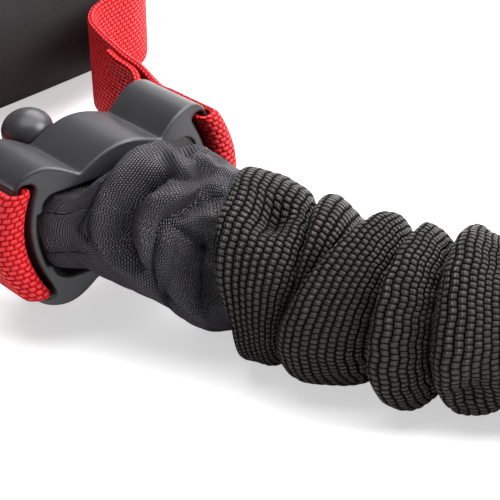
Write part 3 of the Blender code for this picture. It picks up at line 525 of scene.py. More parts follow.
def ringLine(points, angle):
    # a smooth line round the tube through (degrees, millimetres)
    turns = np.radians([p[0] for p in points])
    values = np.array([p[1] for p in points]) / 1000
    turns = np.concatenate([turns - 2 * pi, turns, turns + 2 * pi])
    dense = np.linspace(-pi, 3 * pi, 721)
    return np.interp(angle, dense, smoothed(np.interp(dense, turns, np.tile(values, 3)), 31))


def foldCreases(angle):
    # crease lines, then the crest and floor radius of the fold after each
    rng = np.random.default_rng(sleeve["seed"])
    lines = [ringLine(points, angle) for _, _, points in foldLines]
    sizes = [(crest, floor) for crest, floor, _ in foldLines]
    place = sleeve["freeFrom"]
    while place < sleeveLength - sleeve["freeTo"]:
        place += sleeve["pitch"] * rng.uniform(*sleeve["pitchShares"])
        slant, turn = rng.uniform(*sleeve["slants"]), rng.uniform(0, 2 * pi)
        wander = sleeve["lineWander"] * ripple(300 + len(lines), (2, 3, 4), angle)
        line = place + slant * np.cos(angle - turn) + wander
        lines.append(np.maximum(line, lines[-1] + sleeve["leastSpan"]))
        sizes.append((sleeve["crest"] + rng.uniform(*sleeve["crests"]),
                      sleeve["crease"] + rng.uniform(*sleeve["creases"])))
        if rng.uniform() < sleeve["shortShare"]:
            # a short fold, which runs out round the tube
            turn, reach = rng.uniform(0, 2 * pi), rng.uniform(*sleeve["shortSpans"])
            swell = reach * np.maximum(0, np.cos(angle - turn)) ** 1.5
            lines.append(lines[-1] + sleeve["shortFrom"] + swell)
            sizes.append(sizes[-1])
            place += sleeve["shortStep"]
    lines.append(np.full_like(angle, sleeveLength))
    sizes.append((sleeve["crest"], sleeve["endFloor"]))
    return np.array(lines), sizes


def foldRows(angle):
    # rows of cloth: the same part of each fold all the way round, closer together in view
    lines, sizes = foldCreases(angle)
    places, radii = [], []
    last = len(lines) - 2
    for k in range(len(lines) - 1):
        span = lines[k + 1] - lines[k]
        step = sleeve["fine"] if lines[k].mean() < sleeve["fineEnd"] else sleeve["coarse"]
        count = max(7, round(1.7 * span.max() / step))
        full = 1 - np.exp(-(span / sleeve["fullSpan"]) ** 1.5)
        crest = sizes[k][0] + sleeve["crestWander"] * ripple(500 + k, (1, 2, 3), angle)
        floors = [sizes[k + j][1] + sleeve["floorWander"] * ripple(700 + k + j, (1, 2, 3), angle)
                  for j in (0, 1)]
        if k == 0:
            floors[0] = np.full_like(angle, sizes[0][1])
        if k == last:
            floors[1] = np.full_like(angle, sizes[-1][1])
        lean = sleeve["lean"] + sleeve["leanWander"] * ripple(900 + k, (1, 2), angle)
        for j in range(count + (k == last)):
            t = j / count
            # creases are sharper than crests; the mouths have no crease
            swell = sin(pi * t ** 0.62) ** 1.45
            if k == 0:
                swell = sin(pi * (0.32 + 0.68 * t)) ** 0.7 if t > 0 else 0.85
            if k == last:
                swell = sin(pi * 0.68 * t ** 0.9) ** 0.7
            floor = floors[0] * (1 - t) + floors[1] * t
            places.append(lines[k] + span * (t - lean * sin(2 * pi * t) * (1 - 0.5 * t)))
            radii.append(floor + (crest - floor) * full * swell)
    return np.array(places), np.array(radii)


def crumpled(places, radii, turn):
    # puckers run along the tube out of the creases, soft dents cross the folds, then the dimples
    along = places * 1000
    below, depth = sleeve["puckered"]
    low = np.clip((below - radii) / depth, 0, 1)
    pucker = low * np.cos(19 * turn + 2.5 * np.sin(along * 0.21))
    dents = (np.sin(along * 0.37 + 3 * turn) * np.cos(2 * turn - along * 0.11)
             + 0.7 * np.sin(along * 0.62 - 4 * turn + 1.3) + 0.5 * np.sin(along * 0.9 + 7 * turn))
    inward = np.clip(np.minimum(places - places[0], sleeveLength - places) / sleeve["endFade"], 0, 1)
    radii = radii + inward * (sleeve["pucker"] * pucker + sleeve["dent"] * dents)
    for middle, place, wide, long, deep in sleeve["dimples"]:
        away = 0.018 * (np.mod(turn - radians(middle) + pi, 2 * pi) - pi)
        radii = radii - deep * np.exp(-(away / wide) ** 2 - ((places - place) / long) ** 2)
    return radii


def closedRings(places, radii):
    # the mouths turn in over a lip, and a lining runs through
    whole = np.ones_like(places[0])

    def lip(end, sign):
        return [(places[end] - sign * sleeve["lip"] * 0.5 * sin(pi * t),
                 radii[end] - sleeve["lip"] * 0.5 * (1 - cos(pi * t)))
                for t in np.linspace(0, 1, 7)[1:]]

    even = np.linspace(sleeve["liningFrom"], sleeveLength - sleeve["liningFrom"], sleeve["liningRings"])
    lining = sleeve["nearLining"] + [(place, sleeve["bore"]) for place in even]
    lining += [(sleeveLength - place, radius) for place, radius in sleeve["farLining"]]
    inside = [(places[0] + reach, radius * whole) for reach, radius in sleeve["throat"]]
    inside += [(place * whole, radius * whole) for place, radius in lining]
    rings = list(zip(places, radii)) + lip(-1, -1) + inside[::-1] + lip(0, 1)[::-1]
    return (np.array([ring[i] for ring in rings + [(places[0], radii[0])]]) for i in (0, 1))


def onRoute(places, radii, angle):
    # points round the centre line, which goes on straight past the ends, and the spokes to them
    reach = np.clip(places, 0, sleeveLength)

    def along(values):
        return np.stack([np.interp(reach, sleevePlaces, column) for column in values.T], axis=-1)

    ahead = unit(along(np.gradient(sleeveLine, sleevePlaces, axis=0)))
    side = unit(np.cross(ahead, [0, 0, 1]))
    up = np.cross(side, ahead)
    spoke = np.cos(angle)[None, :, None] * side + np.sin(angle)[None, :, None] * up
    points = along(sleeveLine) + (places - reach)[..., None] * ahead + radii[..., None] * spoke
    # the lowest folds are pressed flat where they lie
    height, (start, least) = points[..., 2], sleeve["pressed"]
    flattened = least + (start - least) * np.exp((height - start) / (start - least))
    points[..., 2] = np.where(height < start, flattened, height)
    return points, spoke


def raisedBeads(points, spoke, cloth, seen):
    # rings of beads stand out of the cloth where they are in view
    outward = unit(np.cross(np.gradient(points, axis=0), np.gradient(points, axis=1)))
    outward *= np.sign(np.sum(outward * spoke, axis=-1).mean(axis=1, keepdims=True))[..., None]
    part = np.mod(cloth / sleeve["beadRow"], 1)
    rise = sleeve["beadRise"] * (1 - np.abs(2 * part - 1) ** 2.8) * seen
    points = points + (rise * np.clip(cloth / 2, 0, 1))[..., None] * outward
    points[-1] = points[0]
    return points


def makeSleeve():
    angle = np.linspace(0, 2 * pi, sleeve["around"])
    places, radii = foldRows(angle)
    outerRows = len(places)
    places, radii = closedRings(places, crumpled(places, radii, angle[None, :]))
    points, spoke = onRoute(places, radii, angle)
    # cloth map: beads keep their size along each line of cloth, and lines stay side by side
    cloth = travelled(points)
    mean = cloth.mean(axis=1, keepdims=True)
    drift = cloth - mean
    cloth = mean + 0.4 * (drift - np.apply_along_axis(smoothed, 0, drift, sleeve["smoothing"]))
    seen = np.clip((sleeve["fineEnd"] + 0.01 - places) / 0.01, 0, 1)
    seen = seen * (np.arange(len(places)) < outerRows)[:, None]
    points = raisedBeads(points, spoke, cloth, seen)
    around = np.broadcast_to(angle[None, :] / (2 * pi) * sleeve["girth"], cloth.shape)
    piece = gridPiece("ruchedSleeve", points, np.stack([around, cloth], axis=-1), sleeveMaterial)
    dress(piece, "ruched_sleeve", "tube", "ruched_textile")
    tuple(sleeveLine[0])
    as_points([tuple(point) for point in sleeveLine[::4]] + [tuple(sleeveLine[-1])])


makeSleeve()
print("sleeve made")


# cuff: black nylon, flat in the connector's opening, slack before it, and held by the sleeve's mouth
cuff = {
    "around": 231, "row": 0.0003, "wall": 0.0007, "girth": 190 * 0.55, "insideShift": 60,
    "tall": 1.2, "perDegree": 0.28, "slackFrom": (10, 6), "slackMore": (0.35, 28, 4), "fine": 0.10,
    # the folds out of view, in degrees and mm
    "seed": 17, "moreFolds": 26, "moreTurns": (118, 322), "morePlaces": (26, 50), "moreReach": (20, 5),
    "moreHeights": (0.7, -0.8), "moreWidths": (1.2, 2.4),
    # sections: across, back and drop in mm in the connector's frame, half width, half height, then how
    # far each is turned to the tube's heading, leans with the connector and is square
    "sections": [
        (-3.3, 9.1, 0, 5.9, 8.7, 1, 1, 1), (-2, 2.1, 0, 11, 9, 0.6, 1, 1),
        (-4.4, -4, 0, 15, 9.2, 0.2, 1, 0.9), (-5, -7.7, 0, 15.6, 9.3, 0.05, 1, 0.8),
        (-4.3, -10.2, 0, 15.4, 9.2, 0, 1, 0.75), (-3.2, -11.9, 0.1, 14.8, 9.3, 0.05, 1, 0.6),
        (-1.8, -12.4, 0.2, 14.8, 11.2, 0.12, 0.9, 0.4), (0.1, -12.7, 0.5, 15.8, 13.6, 0.25, 0.75, 0.2),
        (1.2, -13.6, 0.9, 15.9, 14.8, 0.35, 0.6, 0.1), (2.8, -15.3, 1.9, 16.1, 15.5, 0.5, 0.5, 0),
        (4.6, -17.2, 3, 16.2, 16, 0.65, 0.4, 0), (7.9, -22.7, 5.1, 16.8, 16.9, 0.9, 0.2, 0),
    ],
    # round rings at the sleeve's mouth: reach past it, lift and radius
    "mouth": [(-0.0058, 0.0020, 0.0172), (0, 0.0004, 0.0168), (0.003, 0, 0.0152), (0.008, 0, 0.0126),
              (0.012, 0, 0.0119)],
}


def cuffRings():
    # centre, half width, half height, turn, lean and squareness of each section
    rings = []
    for across, back, drop, wide, tall, *shape in cuff["sections"]:
        centre = fromConnector(across / 1000, back / 1000, 0) - Vector((0, 0, drop / 1000))
        rings.append((*centre, wide / 1000, tall / 1000, *shape))
    for reach, lift, size in cuff["mouth"]:
        centre = aheadOfToggle(layout["mouthReach"] + reach, layout["sleeveHeight"] + lift)
        rings.append((*centre, size, size, 1, 0, 0))
    return rings


def cuffForm():
    # the smooth form and its outward direction, with places in mm along and degrees round it
    dense, rows = curveThrough(cuffRings(), cuff["row"])
    centre, wide, tall, turned, lean, square = dense[:, None, :3], *(dense[:, i, None] for i in range(3, 8))
    angle = np.linspace(0, 2 * pi, cuff["around"])
    power = 1 - 0.5 * np.clip(square, 0, 1)
    across, rise = (np.sign(wave) * np.abs(wave) ** power for wave in (np.cos(angle), np.sin(angle)))
    heading, tip = turned * layout["heading"], lean * layout["lean"]
    side = np.stack([-np.cos(heading), -np.sin(heading), 0 * heading], axis=2)
    up = np.stack([0 * tip, np.sin(tip), np.cos(tip)], axis=2)
    base = centre + (wide * across)[..., None] * side + (tall * rise)[..., None] * up
    alongStep, aroundStep = np.gradient(base, axis=0), np.gradient(base, axis=1)
    aroundStep[:, 0] = aroundStep[:, -1] = base[:, 1] - base[:, -2]
    travel = np.broadcast_to(rows[:, None] * 1000, base.shape[:2])
    degrees = np.broadcast_to(np.degrees(angle)[None, :], base.shape[:2])
    return base, unit(np.cross(alongStep, aroundStep)), travel, degrees


# wrinkles: height and half width in mm, how sharp, then a line as degrees round the cuff and mm along it
cuffFolds = [
    # the roll that hangs over the opening, and the valley behind it
    (1.3, 2, 0, [(112, 27.9), (96, 28.6), (72, 30.1), (55, 29.9), (40, 29.7), (28, 29.7), (16, 30.3),
        (4, 31.5), (-8, 34.9), (-20, 36.9)]),
    (-2.8, 1.9, 1, [(76, 35.3), (66, 33.8), (58, 33.1), (48, 32.6), (37, 32.3), (25, 32.4), (16, 32.9),
        (7, 34.3), (-3, 36.9)]),
    # behind the valley: a bulge, a crease across it and the long slack bulge that runs to the mouth
    (0.8, 1.9, 0, [(60, 36.1), (46, 35.8), (36, 35.7), (25, 36.5), (14, 37.3), (2, 37.5)]),
    (-1.6, 1.1, 1, [(47, 41.5), (40, 40.3), (34, 39.9), (25, 39.9), (13, 39.7), (-2, 39.3), (-14, 38.9)]),
    (1.1, 3.2, 0, [(44, 43.9), (29, 43.5), (16, 44.1), (4, 46.3), (-6, 49.5), (-10, 52.9)]),
    (-0.8, 1.2, 1, [(43, 40.4), (44, 43.9), (42, 47.5), (40, 50.9), (37, 54.3)]),
    (-1, 1.1, 1, [(43, 40.4), (50, 41.9), (57, 43.5), (66, 44.9), (74, 46.5), (84, 49.3)]),
    (0.7, 1.4, 0, [(41, 42.9), (52, 45.3), (60, 47.7), (66, 50.9)]),
    (0.9, 1.9, 0, [(50, 35.3), (58, 38.3), (70, 41.6), (84, 44.8), (92, 47.9)]),
    (-0.7, 1.2, 1, [(67, 33.9), (76, 35.7), (76, 38.3), (80, 41.7), (90, 44.5)]),
    (0.8, 1.6, 0, [(112, 27.5), (104, 30.5), (97, 33.5), (86, 36.9), (78, 39.3)]),
    (-0.6, 1.3, 1, [(112, 32.9), (104, 35.9), (96, 38.9), (92, 42.5)]),
    (0.7, 2, 0, [(104, 36.9), (101, 41.9), (106, 47.9)]),
    (-0.7, 1.8, 0, [(26, 45.9), (18, 49.5), (14, 53.9)]),
    (-0.8, 1.6, 0, [(-14, 41.9), (-12, 45.9), (-16, 49.9)]),
    (-2.4, 2.6, 0, [(-6, 53.4), (14, 51.9), (34, 50.5), (52, 49.1)]),
    # the flat part in the opening: two seams, the folds beside them and a pinch before the roll
    (-0.5, 1, 1, [(31, 13.9), (34, 22.9), (33, 25.9), (41, 28.3)]),
    (-0.5, 1, 1, [(-6, 13.9), (-7, 23.8), (-1, 28)]),
    (0.6, 2.4, 0, [(52, 13.9), (56, 20.2), (56, 25.3), (60, 27.9)]),
    (-0.6, 1.8, 0, [(84, 15.9), (84, 21.9), (82, 26.9)]),
    (-1.1, 0.8, 1, [(40, 27.1), (29, 26.7), (20, 25.9), (14, 25.1)]),
    (-0.9, 0.7, 1, [(14, 25.1), (9, 26.3), (4, 27.5)]),
    (0.5, 0.6, 0, [(24, 27.3), (14, 27.1), (5, 28.1)]),
    (-1.2, 1.3, 1, [(64, 27.1), (48, 27.5), (34, 27.7), (22, 28.1), (10, 28.5), (0, 29.3)]),
]
# the roll also slides over the opening
cuffSlides = [
    (2.4, 2.3, 0, [(104, 27.9), (80, 28.9), (56, 29.3), (40, 29.3), (24, 29.3), (10, 29.9), (-4, 31.9)]),
    (0.8, 2, 0, [(47, 38.9), (34, 38.3), (20, 38.3), (4, 38.7)]),
]
# two rows of thread on each of the two seams, in degrees and mm
seams = {
    "rows": (31.5, 36.0, -9.0, -4.5), "start": 16.0, "end": 26.3, "stitch": 1.75, "gap": 0.45,
    "thick": 0.17,
}


def foldHeight(travel, degrees, fold):
    # the height of one fold, from the distance to its line on the cloth; it fades at the line's ends
    height, wide, sharp, points = fold
    line, _ = curveThrough([(turn * cuff["perDegree"], place, 0) for turn, place in points], 0.7)
    best = np.full(travel.shape, 1e9)
    part = np.zeros(travel.shape)
    for i, (across, along, _) in enumerate(line):
        away = (degrees * cuff["perDegree"] - across) ** 2 + (travel - along) ** 2
        part = np.where(away < best, i / (len(line) - 1), part)
        best = np.minimum(away, best)
    away = np.sqrt(best) / wide
    shape = np.exp(-1.6 * (np.sqrt(away ** 2 + 0.04) - 0.2)) if sharp else np.exp(-away ** 2)
    return height * shape * np.clip(5 * part + 0.25, 0, 1) * np.clip(5 * (1 - part) + 0.25, 0, 1)


def cuffWrinkles():
    # the folds in view, and more of the same size on the sides that face away
    rng = np.random.default_rng(cuff["seed"])
    folds = list(cuffFolds)
    for k in range(cuff["moreFolds"]):
        turn, place = rng.uniform(*cuff["moreTurns"]), rng.uniform(*cuff["morePlaces"])
        slant, (wide, long) = rng.uniform(-1, 1), cuff["moreReach"]
        points = [(turn + wide * t * slant, place + long * t) for t in (-1, -0.3, 0.4, 1)]
        folds.append((rng.choice(cuff["moreHeights"]), rng.uniform(*cuff["moreWidths"]), k % 2, points))
    return folds


def cuffRelief(travel, degrees):
    # wrinkles, as the height over the smooth form and the slide towards the connector, in mm
    turned = np.where(degrees > 250, degrees - 360, degrees)
    total = sum(foldHeight(travel, turned if np.mean([p[0] for p in fold[3]]) < 115 else degrees, fold)
                for fold in cuffWrinkles())
    start, span = cuff["slackFrom"]
    more, moreStart, moreSpan = cuff["slackMore"]
    slack = np.clip((travel - start) / span, 0, 1)
    slack = slack * (1 + more * np.clip((travel - moreStart) / moreSpan, 0, 1))
    turn = np.radians(degrees)
    fine = cuff["fine"] * np.cos(11 * turn + travel * 0.5) * np.cos(travel * 0.9 + 2 * turn)
    slide = sum(foldHeight(travel, turned, fold) for fold in cuffSlides)
    return cuff["tall"] * slack * (total + fine), slide


def makeCuff():
    base, outward, travel, degrees = cuffForm()
    height, slide = cuffRelief(travel, degrees)
    back = unit(-np.gradient(base, axis=0))
    outer = base + (height / 1000)[..., None] * outward + (slide / 1000)[..., None] * back
    inner = (outer - cuff["wall"] * outward)[::-1]
    points = np.concatenate([outer, inner, outer[:1]])
    along = travelled(outer)
    mean = 0.5 * along + 0.5 * along.mean(axis=1, keepdims=True)
    lengths = np.concatenate([mean, mean[::-1] + cuff["insideShift"], mean[:1]])
    around = np.broadcast_to(degrees[0] / 360 * cuff["girth"], points.shape[:2])
    nylon = gridPiece("nylonCuff_a", points, np.stack([around, lengths], axis=-1), nylonMaterial)
    return nylon, makeSeams(outer, outward, travel, degrees)


def addStitch(work, start, end, up, thick):
    # a short thread on the cloth, half sunk in it
    ahead = (end - start).normalized()
    turned = Matrix(((end - start).cross(up).normalized(), ahead, up.normalized())).transposed()
    size = Matrix.Diagonal((thick, (end - start).length / 2, thick, 1))
    middle = Matrix.Translation((start + end) / 2 + 0.4 * thick * up)
    bmesh.ops.create_uvsphere(work, u_segments=8, v_segments=8, radius=1,
                              matrix=middle @ turned.to_4x4() @ size)


def makeSeams(outer, outward, travel, degrees):
    work = bmesh.new()
    places, turns = travel[:, 0], degrees[0]

    def onCloth(grid, place, turn):
        row = int(np.interp(place, places, np.arange(len(places))))
        column = np.interp(turn % 360, turns, np.arange(len(turns)))
        j = min(int(column), len(turns) - 2)
        return Vector(grid[row, j] * (1 - (column - j)) + grid[row, j + 1] * (column - j))

    for turn in seams["rows"]:
        place = seams["start"]
        while place < seams["end"]:
            addStitch(work, onCloth(outer, place, turn), onCloth(outer, place + seams["stitch"], turn),
                      onCloth(outward, place, turn), seams["thick"] / 1000)
            place += seams["stitch"] + seams["gap"]
    return addPiece(meshFrom(work, "cuffStitches_a"), threadMaterial)


for piece in makeCuff():
    for suffix, there in onBothHandles(piece):
        if piece.name == "nylonCuff_a":
            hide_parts("cuff_" + suffix)
        blendToTube(there, suffix)
print("cuffs made")


# connector: a wavy moulded frame, bent in plan, with an opening and two strap slots
connector = {
    "depth": 0.0214, "sweep": 6.5, "edge": 0.00068, "lobeTop": 0.0162, "valleyTop": 0.0124,
    "middleTop": 0.0158, "valleyOut": 0.0102, "lobeOut": 0.0183, "tipOut": 0.0244, "endOut": 0.0285,
    "openingOut": 0.0213, "openingHalf": 0.0098, "openingRound": 0.0035, "slotIn": 0.0228,
    "slotOut": 0.0263, "slotHalf": 0.0133, "slotRound": 0.0012, "bowRadius": 0.025, "steps": 5,
    "softEnd": 0.002, "cuts": (-0.0275, 0.0276, 0.0011),
}


def sweepBack(across):
    return connector["sweep"] * min(abs(across), connector["endOut"]) ** 2


def bow(height):
    return height ** 2 / (2 * connector["bowRadius"])


def waveTop(across):
    # a middle lobe, two valleys and two end lobes
    c = connector
    out = abs(across)
    if out < c["valleyOut"]:
        return c["valleyTop"] + (c["middleTop"] - c["valleyTop"]) * cos(
            pi / 2 * out / c["valleyOut"])
    rise = c["lobeTop"] - c["valleyTop"]
    if out < c["lobeOut"]:
        return c["valleyTop"] + rise * cos(
            pi / 2 * (c["lobeOut"] - out) / (c["lobeOut"] - c["valleyOut"]))
    part = (out - c["lobeOut"]) / (c["tipOut"] - c["lobeOut"])
    return c["valleyTop"] + rise * max(0.0, cos(pi / 2 * part)) ** 0.5


def quarter(centre, radius, start):
    # a quarter of a circle, from the given angle
    angles = start + pi / 2 * np.linspace(0, 1, 9)
    return [(centre[0] + radius * cos(a), centre[1] + radius * sin(a)) for a in angles]


def connectorOutlines():
    c = connector
    tops = np.sin(np.linspace(1, -1, 161) * pi / 2) * c["tipOut"]
    dense = np.linspace(-c["tipOut"], c["tipOut"], 801)
    raw = np.array([waveTop(x) for x in dense])
    # the valleys are soft
    weight = np.clip((c["lobeOut"] + c["softEnd"] - np.abs(dense)) / c["softEnd"], 0, 1)
    top = list(zip(tops, np.interp(tops, dense, raw + (smoothed(raw, 25) - raw) * weight)))
    ends = np.linspace(0.93, -0.93, 25) * c["valleyTop"]
    left = [((c["endOut"] - c["tipOut"]) * (z / c["valleyTop"]) ** 2 - c["endOut"], z) for z in ends]
    outline = top + left + [(x, -z) for x, z in reversed(top)] + [(-x, z) for x, z in reversed(left)]
    half, r = c["openingHalf"], c["openingRound"]
    corner = (c["openingOut"] - bow(half) - r, half - r)
    right = quarter((corner[0], -corner[1]), r, -pi / 2)
    right += [(c["openingOut"] - bow(z), z) for z in np.linspace(-0.6, 0.6, 13) * half]
    right += quarter(corner, r, 0)
    middle = [(x, half) for x in np.linspace(0.9, -0.9, 19) * corner[0]]
    opening = right + middle + [(-x, -z) for x, z in right + middle]
    r, half = c["slotRound"], c["slotHalf"]
    highIn = (c["slotIn"] - bow(half - r) + r, half - r)
    highOut = (c["slotOut"] - bow(half - r) - r, half - r)
    bows = np.linspace(-0.86, 0.86, 21) * half
    slot = quarter((highIn[0], -highIn[1]), r, pi) + quarter((highOut[0], -highOut[1]), r, -pi / 2)
    slot += [(c["slotOut"] - bow(z), z) for z in bows]
    slot += quarter(highOut, r, 0) + quarter(highIn, r, pi / 2)
    slot += [(c["slotIn"] - bow(z), z) for z in bows[::-1]]
    return [outline, opening, slot, [(-x, z) for x, z in slot]]


def makeConnector():
    c = connector
    curve = bpy.data.curves.new("connectorCurve", "CURVE")
    curve.dimensions = "2D"
    curve.fill_mode = "BOTH"
    curve.extrude = c["depth"] / 2 - c["edge"]
    curve.bevel_depth = c["edge"]
    curve.bevel_resolution = c["steps"]
    curve.offset = -c["edge"]
    for outline in connectorOutlines():
        spline = curve.splines.new("POLY")
        spline.points.add(len(outline) - 1)
        for point, (across, up) in zip(spline.points, outline):
            point.co = (across, up, 0, 1)
        spline.use_cyclic_u = True
    guide = addObject("connectorGuide", curve)
    bpy.context.view_layer.update()
    flat = bpy.data.meshes.new_from_object(guide.evaluated_get(bpy.context.evaluated_depsgraph_get()))
    bpy.data.objects.remove(guide)
    work = bmesh.new()
    work.from_mesh(flat)
    bmesh.ops.remove_doubles(work, verts=work.verts, dist=1e-6)
    for across in np.arange(*c["cuts"]):
        bmesh.ops.bisect_plane(work, geom=work.verts[:] + work.edges[:] + work.faces[:], dist=1e-6,
                               plane_co=(across, 0, 0), plane_no=(1, 0, 0))
    bmesh.ops.recalc_face_normals(work, faces=work.faces)
    for vert in work.verts:
        across, up, forward = vert.co
        vert.co = fromConnector(across, sweepBack(across) - forward, up)
    return addPiece(meshFrom(work, "mouldedConnector_a"), plasticMaterial, sharp=35)


for suffix, body in onBothHandles(makeConnector()):
    weighted = body.modifiers.new("evenShading", "WEIGHTED_NORMAL")
    weighted.keep_sharp = True
    dress(body, "connector_" + suffix, "connector_" + suffix, "soft_touch_plastic")
print("connectors made")


# toggle: a domed pin behind the connector, which the anchor loop goes round
toggle = {
    "radius": 0.00575, "top": 0.0175, "base": 0.0170, "waist": 0.0030, "neck": 0.0065, "shoulder": 0.0085,
    "flatness": 0.8, "round": 0.0008,
}


def makeToggle():
    t = toggle
    dome = [(t["radius"] * sin(a), t["top"] - t["radius"] * t["flatness"] * (1 - cos(a)))
            for a in np.linspace(0, pi / 2, 14)]
    foot = [(x, -t["base"] + t["top"] - z) for x, z in reversed(dome)]
    waist = roundedProfile([dome[-1], (t["radius"], t["shoulder"]), (t["waist"], t["neck"]),
                            (t["waist"], -t["neck"]), (t["radius"], -t["shoulder"]), foot[0]], t["round"])
    turn = Matrix.Translation(togglePoint) @ Matrix.Rotation(-layout["lean"], 4, "X")
    return turnedPiece("togglePin_a", dome[:-1] + waist + foot[1:], turn, plasticMaterial)


for suffix, pin in onBothHandles(makeToggle()):
    dress(pin, "toggle_" + suffix, "tube", "soft_touch_plastic")
print("toggles made")


# straps and tapes: a flat band with round edges, swept along rows

def bandRow(place, step, lean, bowed):
    # centre, up, outward and bow of one row; lean is its share of the connector's
    tip = lean * layout["lean"]
    up = np.array([0, sin(tip), cos(tip)])
    return place, up, unit(np.cross(step - up * np.dot(step, up), up)), bowed


def bandPiece(name, rows, width, thick, material, closed=False):
    half, side = width / 2 - thick / 2, thick / 2
    turn = np.linspace(-pi / 2, pi / 2, 9)[1:-1]
    flats = np.linspace(-half, half, 15)
    # outer face, edge, inner face and edge, as height, distance out and place on the cloth
    section = [(z, side, z) for z in flats]
    section += [(half + side * cos(a), -side * sin(a), half + side * (a + pi / 2)) for a in turn]
    section += [(z, -side, z + 40) for z in flats[::-1]]
    section += [(-half - side * cos(a), side * sin(a), -half - side * (a + pi / 2))
                for a in turn]
    section.append(section[0])
    points = [[centre + height * up + out * outward + bowed(height) for height, out, _ in section]
              for centre, up, outward, bowed in rows]
    centres = [row[0] for row in rows] + [rows[0][0]]
    travel = np.concatenate([[0], np.cumsum(np.linalg.norm(np.diff(centres, axis=0), axis=1))])
    cloth = [[(place * 1000, far * 1000) for _, _, place in section] for far in travel]
    if closed:
        points.append(points[0])
    else:
        # each end closes at its middle
        first, last = ([np.mean(points[end][:-1], axis=0)] * len(section) for end in (0, -1))
        points = [first] + points + [last]
        cloth = [cloth[0]] + cloth[:-1] + [cloth[-2]]
    return gridPiece(name, np.array(points), np.array(cloth), material)


strap = {
    "width": 0.025, "thick": 0.0018, "tail": 0.036, "gap": 0.0003, "gripHalf": 0.0503, "play": 0.0006,
    "bends": 12, "innerBow": 1.045, "outerBow": 0.94, "row": 0.0008,
}
# a box of stitches with a cross in it, on the outside of each leg
tailSeam = {"start": 0.020, "end": 0.034, "half": 0.0095, "stitch": 0.0023, "thick": 0.00028, "edge": 0.1}


def strapLine():
    # half of the strap's middle line, as in the part's source: x, y, z, lean, bow
    s, c = strap, connector
    inner = c["slotOut"] - s["gap"] - s["thick"] / 2
    outer = c["endOut"] + 1.3 * s["gap"] + s["thick"] / 2
    halfDepth = c["depth"] / 2
    innerBow = s["innerBow"] / (2 * c["bowRadius"])
    outerBow = s["outerBow"] * (c["endOut"] - c["tipOut"]) / c["valleyTop"] ** 2
    line = []

    def add(across, back, lean, curve):
        place = fromConnector(across, back + sweepBack(across), 0) - layout["handle"]
        line.append((*place, lean, curve))

    leg = [
        (0.0296, 0.0240, 0.0214, 0.8, outerBow * 0.55), (0.0290, 0.0310, 0.0208, 0.6, outerBow * 0.3),
        (0.0290, s["tail"], 0.0204, 0.5, outerBow * 0.15),
    ]
    for x, y, z, lean, curve in reversed(leg):
        line.append((x - s["thick"] - 2 * s["gap"], y, z, lean, curve))
    add(inner + s["play"], halfDepth + 0.0034, 1, innerBow)
    for back in (1.05, 0.4, -0.25, -0.85):
        add(inner, back * halfDepth, 1, innerBow)
    # round the connector's outer bar
    deep = s["play"] + 2 * s["gap"] + s["thick"] / 2
    for i in range(1, s["bends"]):
        part = i / s["bends"]
        turn = pi * part
        add((inner + outer) / 2 - (outer - inner) / 2 * cos(turn),
            -halfDepth + s["play"] * (1 - part) - deep * sin(turn), 1,
            innerBow + (outerBow - innerBow) * part)
    for back in (-0.85, -0.5, 0, 0.5, 0.95):
        add(outer, back * halfDepth, 1, outerBow)
    # out to the grip's end, round it and into its bore
    end, back, up = s["gripHalf"], layout["gripReach"], layout["gripHeight"]
    line += leg + [(x, y, z, lean, 0) for x, y, z, lean in (
        (0.0294, 0.0440, 0.0198, 0.3), (0.0312, 0.0515, 0.0192, 0.15), (0.0352, 0.0565, 0.0188, 0.05),
        (0.0415, 0.0591, 0.0185, 0), (end - 0.0015, 0.0609, 0.0183, 0), (end + 0.0039, 0.0646, 0.0181, 0),
        (end + 0.0076, 0.0710, up, 0), (end + 0.0064, 0.0768, up, 0), (end + 0.0025, back, up, 0),
        (end - 0.006, back, up, 0),
    )]
    return line


def makeStrap():
    right = strapLine()
    inGrip = [(x, layout["gripReach"], layout["gripHeight"], 0, 0)
              for x in (0.030, 0.015, 0, -0.015, -0.030)]
    whole = right + inGrip + [(-x, y, z, lean, curve) for x, y, z, lean, curve in reversed(right)]
    dense, _ = curveThrough(whole, strap["row"])
    rows = []
    for (x, y, z, lean, curve), step in zip(dense, np.gradient(dense[:, :3], axis=0)):
        tip = lean * layout["lean"]
        forward = np.array([0, -cos(tip), sin(tip)])

        def bowed(height, x=x, curve=curve, forward=forward):
            inward = curve * height ** 2
            swept = sweepBack(x) - sweepBack(abs(x) - inward) if curve else 0
            return np.array([-copysign(1, x) * inward, 0, 0]) + swept * forward

        rows.append(bandRow(np.array(layout["handle"]) + (x, y, z), step, lean, bowed))
    return bandPiece("handleWebbing_a", rows, strap["width"], strap["thick"], redMaterial), sewTails(rows)


